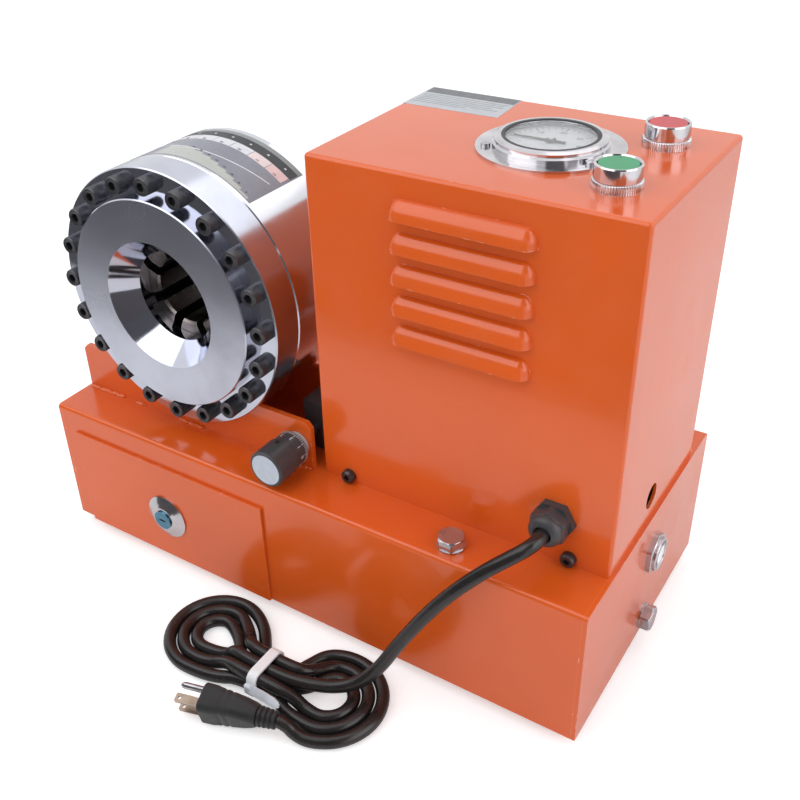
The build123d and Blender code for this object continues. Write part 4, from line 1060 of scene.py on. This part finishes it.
# --- crimping head
@dataclass
class CrimpHead:
    """Cylinder with its bolted front cap and the printed label on its skin."""

    drum: Drum = Drum(Vector(HEAD_AXIS), 0.0973)
    screw_count: int = 20
    screw_circle: float = 0.0871
    screw_radius: float = 0.0065
    screw_foot: float = -0.0854
    field_front: float = -0.0578
    band_front: float = -0.0128
    band_rear: float = -0.004
    boxes_front: float = -0.0222
    box_step: float = 9.3
    block_step: float = 5.0

    def build(self) -> None:
        """Dress the castings, turn the screws, then lay the label."""
        dress(Skin.CAP, "front_cap")
        dress(Skin.BARREL, "barrel")
        self.screws()
        self.patch("label_field", (51, 128), (self.field_front, self.band_rear), 0.00012, Skin.SLATE)
        self.patch("label_rear_strip", (51, 128), (self.band_rear, 0.0006), 0.00014, Skin.STONE)
        self.patch("label_dark_band", (51.6, 127.4), (self.band_front, self.band_rear), 0.0002, Skin.INK)
        for i in range(8):
            start = 52.4 + i * self.box_step
            dot = start + 3.8
            skin = (Skin.PINK, Skin.ROSE)[i] if i < 2 else Skin.WHITE
            self.patch(f"label_box_{i + 1}", (start, start + 9), (self.boxes_front, -0.0134), 0.0002, skin)
            self.patch(f"label_dot_{i + 1}", (dot, dot + 1), (-0.0092, -0.0078), 0.00026, Skin.WHITE)
            self.figure(f"label_figure_{i + 1}", 10 + 5 * i, dot + 0.8, self.boxes_front + 0.0017, 0.0028)
        front = self.field_front + 0.0006
        for i in range(10):
            start, rear = 53 + i * self.block_step, front + 0.0022 + min(0.0175, 0.0021 * i)
            self.patch(f"label_block_{i + 1}", (start, start + 5.02), (front, rear), 0.0002, Skin.SAGE)
            if i < 8:
                self.figure(f"label_size_{i + 1}", 6 + 2 * i, start + 2.6, rear + 0.0022, 0.0022)
        self.arc_line()

    def patch(self, name: str, sweep: Pair, along: Pair, lift: float, skin: Skin) -> None:
        """Lay one printed field on the barrel.

        Args:
            name: The field's name.
            sweep: Its edges in degrees round the axis.
            along: Its front and back edge along Y.
            lift: How far it stands off the barrel.
            skin: Its ink.
        """
        (first, last), (front, back) = sweep, along
        steps = max(2, int((last - first) / 2))
        corners = ((lift, front), (lift, back), (0.00002, back), (0.00002, front))
        turns = [first + (last - first) * i / steps for i in range(steps + 1)]
        rings = [[self.drum.point(out, turn, y) for out, y in corners] for turn in turns]
        piece(name, skin_rings(rings), skin, 20)

    def figure(self, name: str, number: int, degrees: float, y: float, size: float) -> None:
        """Print a plain number on the barrel, at a place round its axis and along Y."""
        words(name, str(number), size, self.drum.seat(0.0003, degrees, y), Skin.INK)

    def screws(self) -> None:
        """Turn the ring of knurled socket screws."""
        shape, knurl, socket = bmesh.new(), toothed(40, 0.045), hexagon(1.0, flat=30.0)
        across = 0.54 * math.cos(math.radians(30))
        steps = ((0, 1, knurl), (0.0068, 1, knurl), (0.0074, 0.975, None), (0.008, 0.9, None),
                 (0.008, 0.62, None), (0.0077, across, socket), (0.0042, across, socket),
                 (0.0036, 0.05, None))
        rings = [[(x, self.screw_foot - depth, z) for x, z in wheel(self.screw_radius * share, 80, form)]
                 for depth, share, form in steps]
        for middle_x, middle_z in wheel(self.screw_circle, self.screw_count):
            left, foot = self.drum.axis.x + middle_x, self.drum.axis.z + middle_z
            skin_rings([[(left + x, y, foot + z) for x, y, z in ring] for ring in rings], shape=shape)
        made = piece("knurled_cap_screws", shape, Skin.BLACK_SCREW, 32)
        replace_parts(made, "cap_screws")

    def arc_line(self) -> None:
        """Draw the label's curved rule across the slate field."""
        rings = []
        for i in range(25):
            share = i / 24
            y = -0.031 - 0.009 * math.sin(math.pi * share)
            corners = ((0.00022, -0.0005), (0.00022, 0.0005), (0.0001, 0.0005), (0.0001, -0.0005))
            rings.append([self.drum.point(out, 54 + 66 * share, y + shift) for out, shift in corners])
        piece("label_arc", skin_rings(rings), Skin.WHITE, 20)


@dataclass
class DieSet:
    """Wedge piston and the eight sliding dies."""

    count: int = 8

    def build(self) -> None:
        """Dress the piston, its seal and each die."""
        dress(Skin.PISTON, "piston")
        dress(Skin.SEAL, "piston_seal")
        dress(Skin.DIE, *[f"die_{i + 1}" for i in range(self.count)])


# --- motor housing
@dataclass
class Housing:
    """Enamelled motor housing, what is inside it, its gland and its top label."""

    label_left: float = 0.0098
    rule_ends: tuple[float, ...] = (0.0755, 0.0735, 0.0742, 0.068, 0.0738, 0.052)

    def build(self) -> None:
        """Dress the sheets and fittings, then lay the label on top."""
        dress(Skin.ENAMEL, "housing_shell", "housing_lugs")
        dress(Skin.BLACK_SCREW, "housing_screws")
        dress(Skin.BLACK, "gland_body", "contact_blocks", "limit_switch")
        self.gland_cap()
        dress(Skin.MOTOR, "motor_body")
        dress(Skin.PISTON, "motor_rotor")
        dress(Skin.PUMP, "pump", "valve_block")
        dress(Skin.BRIGHT, "oil_lines", "tank_plugs")
        self.sight_glass()
        self.label()

    def sight_glass(self) -> None:
        """Turn the oil sight: hexagon, round rim and a pale float disc behind a domed lens."""
        middle, foot = centre("sight_glass_body"), high("base_side_right").x

        def turned(name: str, skin: Skin, slot: str, count: int, *steps: Point) -> Thing:
            """Turn a piece about the sight's axis.

            Args:
                name: Its name.
                skin: Its finish.
                slot: Not used.
                count: Points round it.
                steps: Height, radius in millimetres and share of a hexagon at each ring.

            Returns:
                The piece.
            """
            rings = []
            for out, reach, share in steps:
                points = wheel(reach * MM, count, hexagon(share, 1.13))
                rings.append([(foot + out, middle.y + y, middle.z + z) for y, z in points])
            return piece(name, skin_rings(rings), skin, 30 if skin is Skin.BRIGHT else 40)

        body = turned("oil_sight", Skin.BRIGHT, "zinc_steel", 72,
                      (-0.002, 11.8, 0), (0, 11.8, 0), (0, 13.4, 1), (0.0034, 13.4, 1), (0.0039, 13, 0.6),
                      (0.0041, 12.4, 0), (0.0058, 12.3, 0), (0.0064, 11.7, 0), (0.0064, 10.3, 0),
                      (0.0050, 9.6, 0), (0.0036, 9.5, 0))
        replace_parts(body, "sight_glass_body")
        turned("oil_sight_float", Skin.WHITE, "white_dial", 48,
               (0.0037, 8.8, 0), (0.0041, 8.6, 0), (0.0042, 0.05, 0))
        lens = turned("oil_sight_lens", Skin.GLASS, "clear_glass", 48, (0.0043, 9.4, 0), (0.0052, 9.3, 0),
                      (0.0060, 7.4, 0), (0.0066, 4, 0), (0.0068, 0.05, 0))
        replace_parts(lens, "sight_glass_window")

    def gland_cap(self) -> None:
        """Mould the gland's cap: a hexagon that runs into a domed nose with a lip round the cord."""
        middle, back, face = centre("gland_nut"), high("gland_nut").y, low("gland_nut").y
        steps = ((0, 0.93, 11.25), (0.5, 1, 11.25), (7.2, 1, 11.25), (8, 0.9, 11.1), (8.4, 0.25, 10.9),
                 (9.4, 0, 11), (11, 0, 10.6), (12.4, 0, 9.7), (13.4, 0, 8.3), (13.9, 0, 6.9), (14, 0, 6),
                 (13.2, 0, 5.2), (9, 0, 4.9))
        rings = [[(middle.x + x, max(back - depth * MM, face), middle.z + z)
                  for x, z in wheel(reach * MM, 72, hexagon(share, 1.135))] for depth, share, reach in steps]
        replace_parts(piece("gland_cap", skin_rings(rings), Skin.BLACK, 28), "gland_nut")

    def label(self) -> None:
        """Lay the foil label with its header strip and ruled lines."""
        top, inner, left = high("housing_shell").z, high("housing_shell").y - 0.0012, self.label_left
        corners = [(left, 0.0369), (0.0798, 0.0377), (0.0774, inner), (left - 0.0002, inner)]
        piece("top_label", slab(corners, top, 0.00014), Skin.GREY_FOIL, 20)
        near, far = inner - 0.012, inner - 0.0012
        strip = [(left + 0.0008, near), (0.0772, near), (0.0768, far), (left + 0.0006, far)]
        piece("top_label_header", slab(strip, top + 0.00008, 0.00012), Skin.HEADER, 20)
        shape, start = bmesh.new(), left + 0.003
        for i, end in enumerate(self.rule_ends):
            y = inner - 0.0162 - i * 0.0034
            slab([(start, y), (end, y), (end, y + 0.0009), (start, y + 0.0009)], top + 0.0001, 0.00008, shape)
        piece("top_label_rules", shape, Skin.STONE, 20)


@dataclass
class Gauge:
    """Pressure gauge with a printed scale."""

    sweep: float = 270.0
    divisions: int = 30
    figures: int = 7
    figure_circle: float = 0.0178
    tick_circle: float = 0.0262

    def build(self) -> None:
        """Dress the gauge, then print its scale."""
        dress(Skin.CHROME, "gauge_case", "gauge_bezel")
        dress(Skin.BRIGHT, "gauge_screws")
        dress(Skin.WHITE, "gauge_dial")
        dress(Skin.GLASS, "gauge_glass")
        dress(Skin.NEEDLE, "gauge_needle")
        axis, face = centre("gauge_dial"), high("housing_shell").z + 0.001
        pane, rim = high("gauge_glass").z, high("gauge_bezel").z
        # A black ring inside the bezel, standing over the edge of the glass.
        steps = ((0.0266, pane), (0.0271, pane + 0.0008), (0.0291, max(rim, pane)), (0.0291, pane))
        rings = [[(axis.x + x, axis.y + y, z + 0.0001) for x, y in wheel(radius, 72)] for radius, z in steps]
        piece("gauge_gasket", skin_rings(rings, closed=True), Skin.RUBBER)
        shape = bmesh.new()
        for i in range(self.divisions + 1):
            angle = 180 - self.sweep * i / self.divisions
            inner, half = (0.0215, 0.00034) if i % 5 == 0 else (0.0235, 0.0002)
            along, across = Vector(polar(1, angle)), Vector(polar(half, angle + 90))
            reach = ((inner, -1), (self.tick_circle, -1), (self.tick_circle, 1), (inner, 1))
            slab([axis.xy + along * r + across * side for r, side in reach], face, 0.00006, shape)
        piece("gauge_ticks", shape, Skin.INK, 20)
        for i in range(self.figures):
            x, y = polar(self.figure_circle, 180 - self.sweep * i / (self.figures - 1))
            place = Matrix.Translation((axis.x + x, axis.y + y, face + 0.00004))
            words(f"gauge_figure_{i}", str(i * 10), 0.0046, place, Skin.INK)


@dataclass
class Buttons:
    """Start and stop buttons in knurled chrome collars."""

    teeth: int = 60
    foot: float = 0.0052
    height: float = 0.014
    knurl_radius: float = 0.0140
    knurl_depth: float = 0.00045

    def build(self) -> None:
        """Dress the buttons and turn their collars."""
        dress(Skin.GREEN, "start_button")
        dress(Skin.RED, "stop_button")
        collars = [self.collar(name) for name in ("start_button", "stop_button")]
        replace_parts(collars[0], "button_collars")

    def collar(self, name: str) -> Thing:
        """Turn one collar: knurled foot, groove, plain band and thin rim.

        Args:
            name: The button that it goes round.

        Returns:
            The collar.
        """
        foot, top, outer = self.foot, self.height, self.knurl_radius
        knurl = toothed(self.teeth, self.knurl_depth / outer)
        steps = ((0, 0.0128), (0, 0.0137), (0.0004, outer), (foot - 0.0006, outer), (foot, 0.0135),
                 (foot + 0.0003, 0.0128), (foot + 0.0007, 0.0128), (foot + 0.0009, 0.0132),
                 (top - 0.0007, 0.0132), (top, 0.0127), (top, 0.0119), (top - 0.0008, 0.0113),
                 (top - 0.004, 0.0112))
        at, rings = centre(name), []
        at.z = high("housing_shell").z
        for rise, reach in steps:
            points = wheel(reach, self.teeth * 4, knurl if reach == outer else None)
            rings.append([(at.x + x, at.y + y, at.z + rise) for x, y in points])
        collar = name.replace("button", "collar")
        return piece(collar, skin_rings(rings, closed=True), Skin.CHROME, 32)


@dataclass
class SizeDial:
    """Crimp size dial with figures round its rear skirt."""

    skirt: float = 0.0128
    barrel: float = 0.032
    ticks: int = 50

    def build(self) -> None:
        """Dress the dial, print its figures and ticks and fit its set screw."""
        dress(Skin.BLACK, "dial_knob")
        dress(Skin.KNOB_FACE, "dial_face")
        dress(Skin.GREY, "dial_bushing")
        drum, rear = Drum(centre("dial_knob"), self.skirt, -1), low("dial_knob").y + self.barrel
        corners = ((0.00012, -0.9), (0.00012, 0.9), (0.00002, 0.9), (0.00002, -0.9))
        shape = bmesh.new()
        for i in range(self.ticks):
            angle, end = i * FULL_TURN / self.ticks, rear - 0.0004
            start = end - (0.0036 if i % 5 == 0 else 0.0022)
            rings = [[drum.point(out, angle + turn, y) for out, turn in corners] for y in (start, end)]
            skin_rings(rings, shape=shape)
        piece("dial_ticks", shape, Skin.WHITE, 20, "dial")
        left, front, top = drum.axis.x, rear - 0.0165, drum.axis.z + self.skirt + 0.00095
        steps = ((0.0021, 0.0001), (0.0019, 0.0004), (0.0011, 0.0004), (0.0009, -0.001))
        rings = [[(left + x, front + y, top + out) for x, y in wheel(reach, 24)] for reach, out in steps]
        piece("dial_set_screw", skin_rings(rings), Skin.BLACK_SCREW, body="dial")
        for i in range(10):
            place = drum.seat(0.00022, i * 36, rear - 0.0066)
            words(f"dial_figure_{i}", str(i), 0.0042, place, Skin.WHITE, "dial")


def main() -> None:
    """Build the studio and the cord first, then each sub-assembly, and report every piece."""
    logging.basicConfig(level=logging.INFO, format="%(name)s: %(message)s")
    known = set(bpy.data.objects.keys())
    for kind in (Studio, SupplyCord, BaseBox, Drawer, CrimpHead, DieSet, Housing, Gauge, Buttons, SizeDial):
        kind().build()
        made = sorted(set(bpy.data.objects.keys()) - known)
        known.update(made)
        LOG.info("%s: %s", kind.__name__, ", ".join(made) or "dressed")


if __name__ == "__main__":
    main()
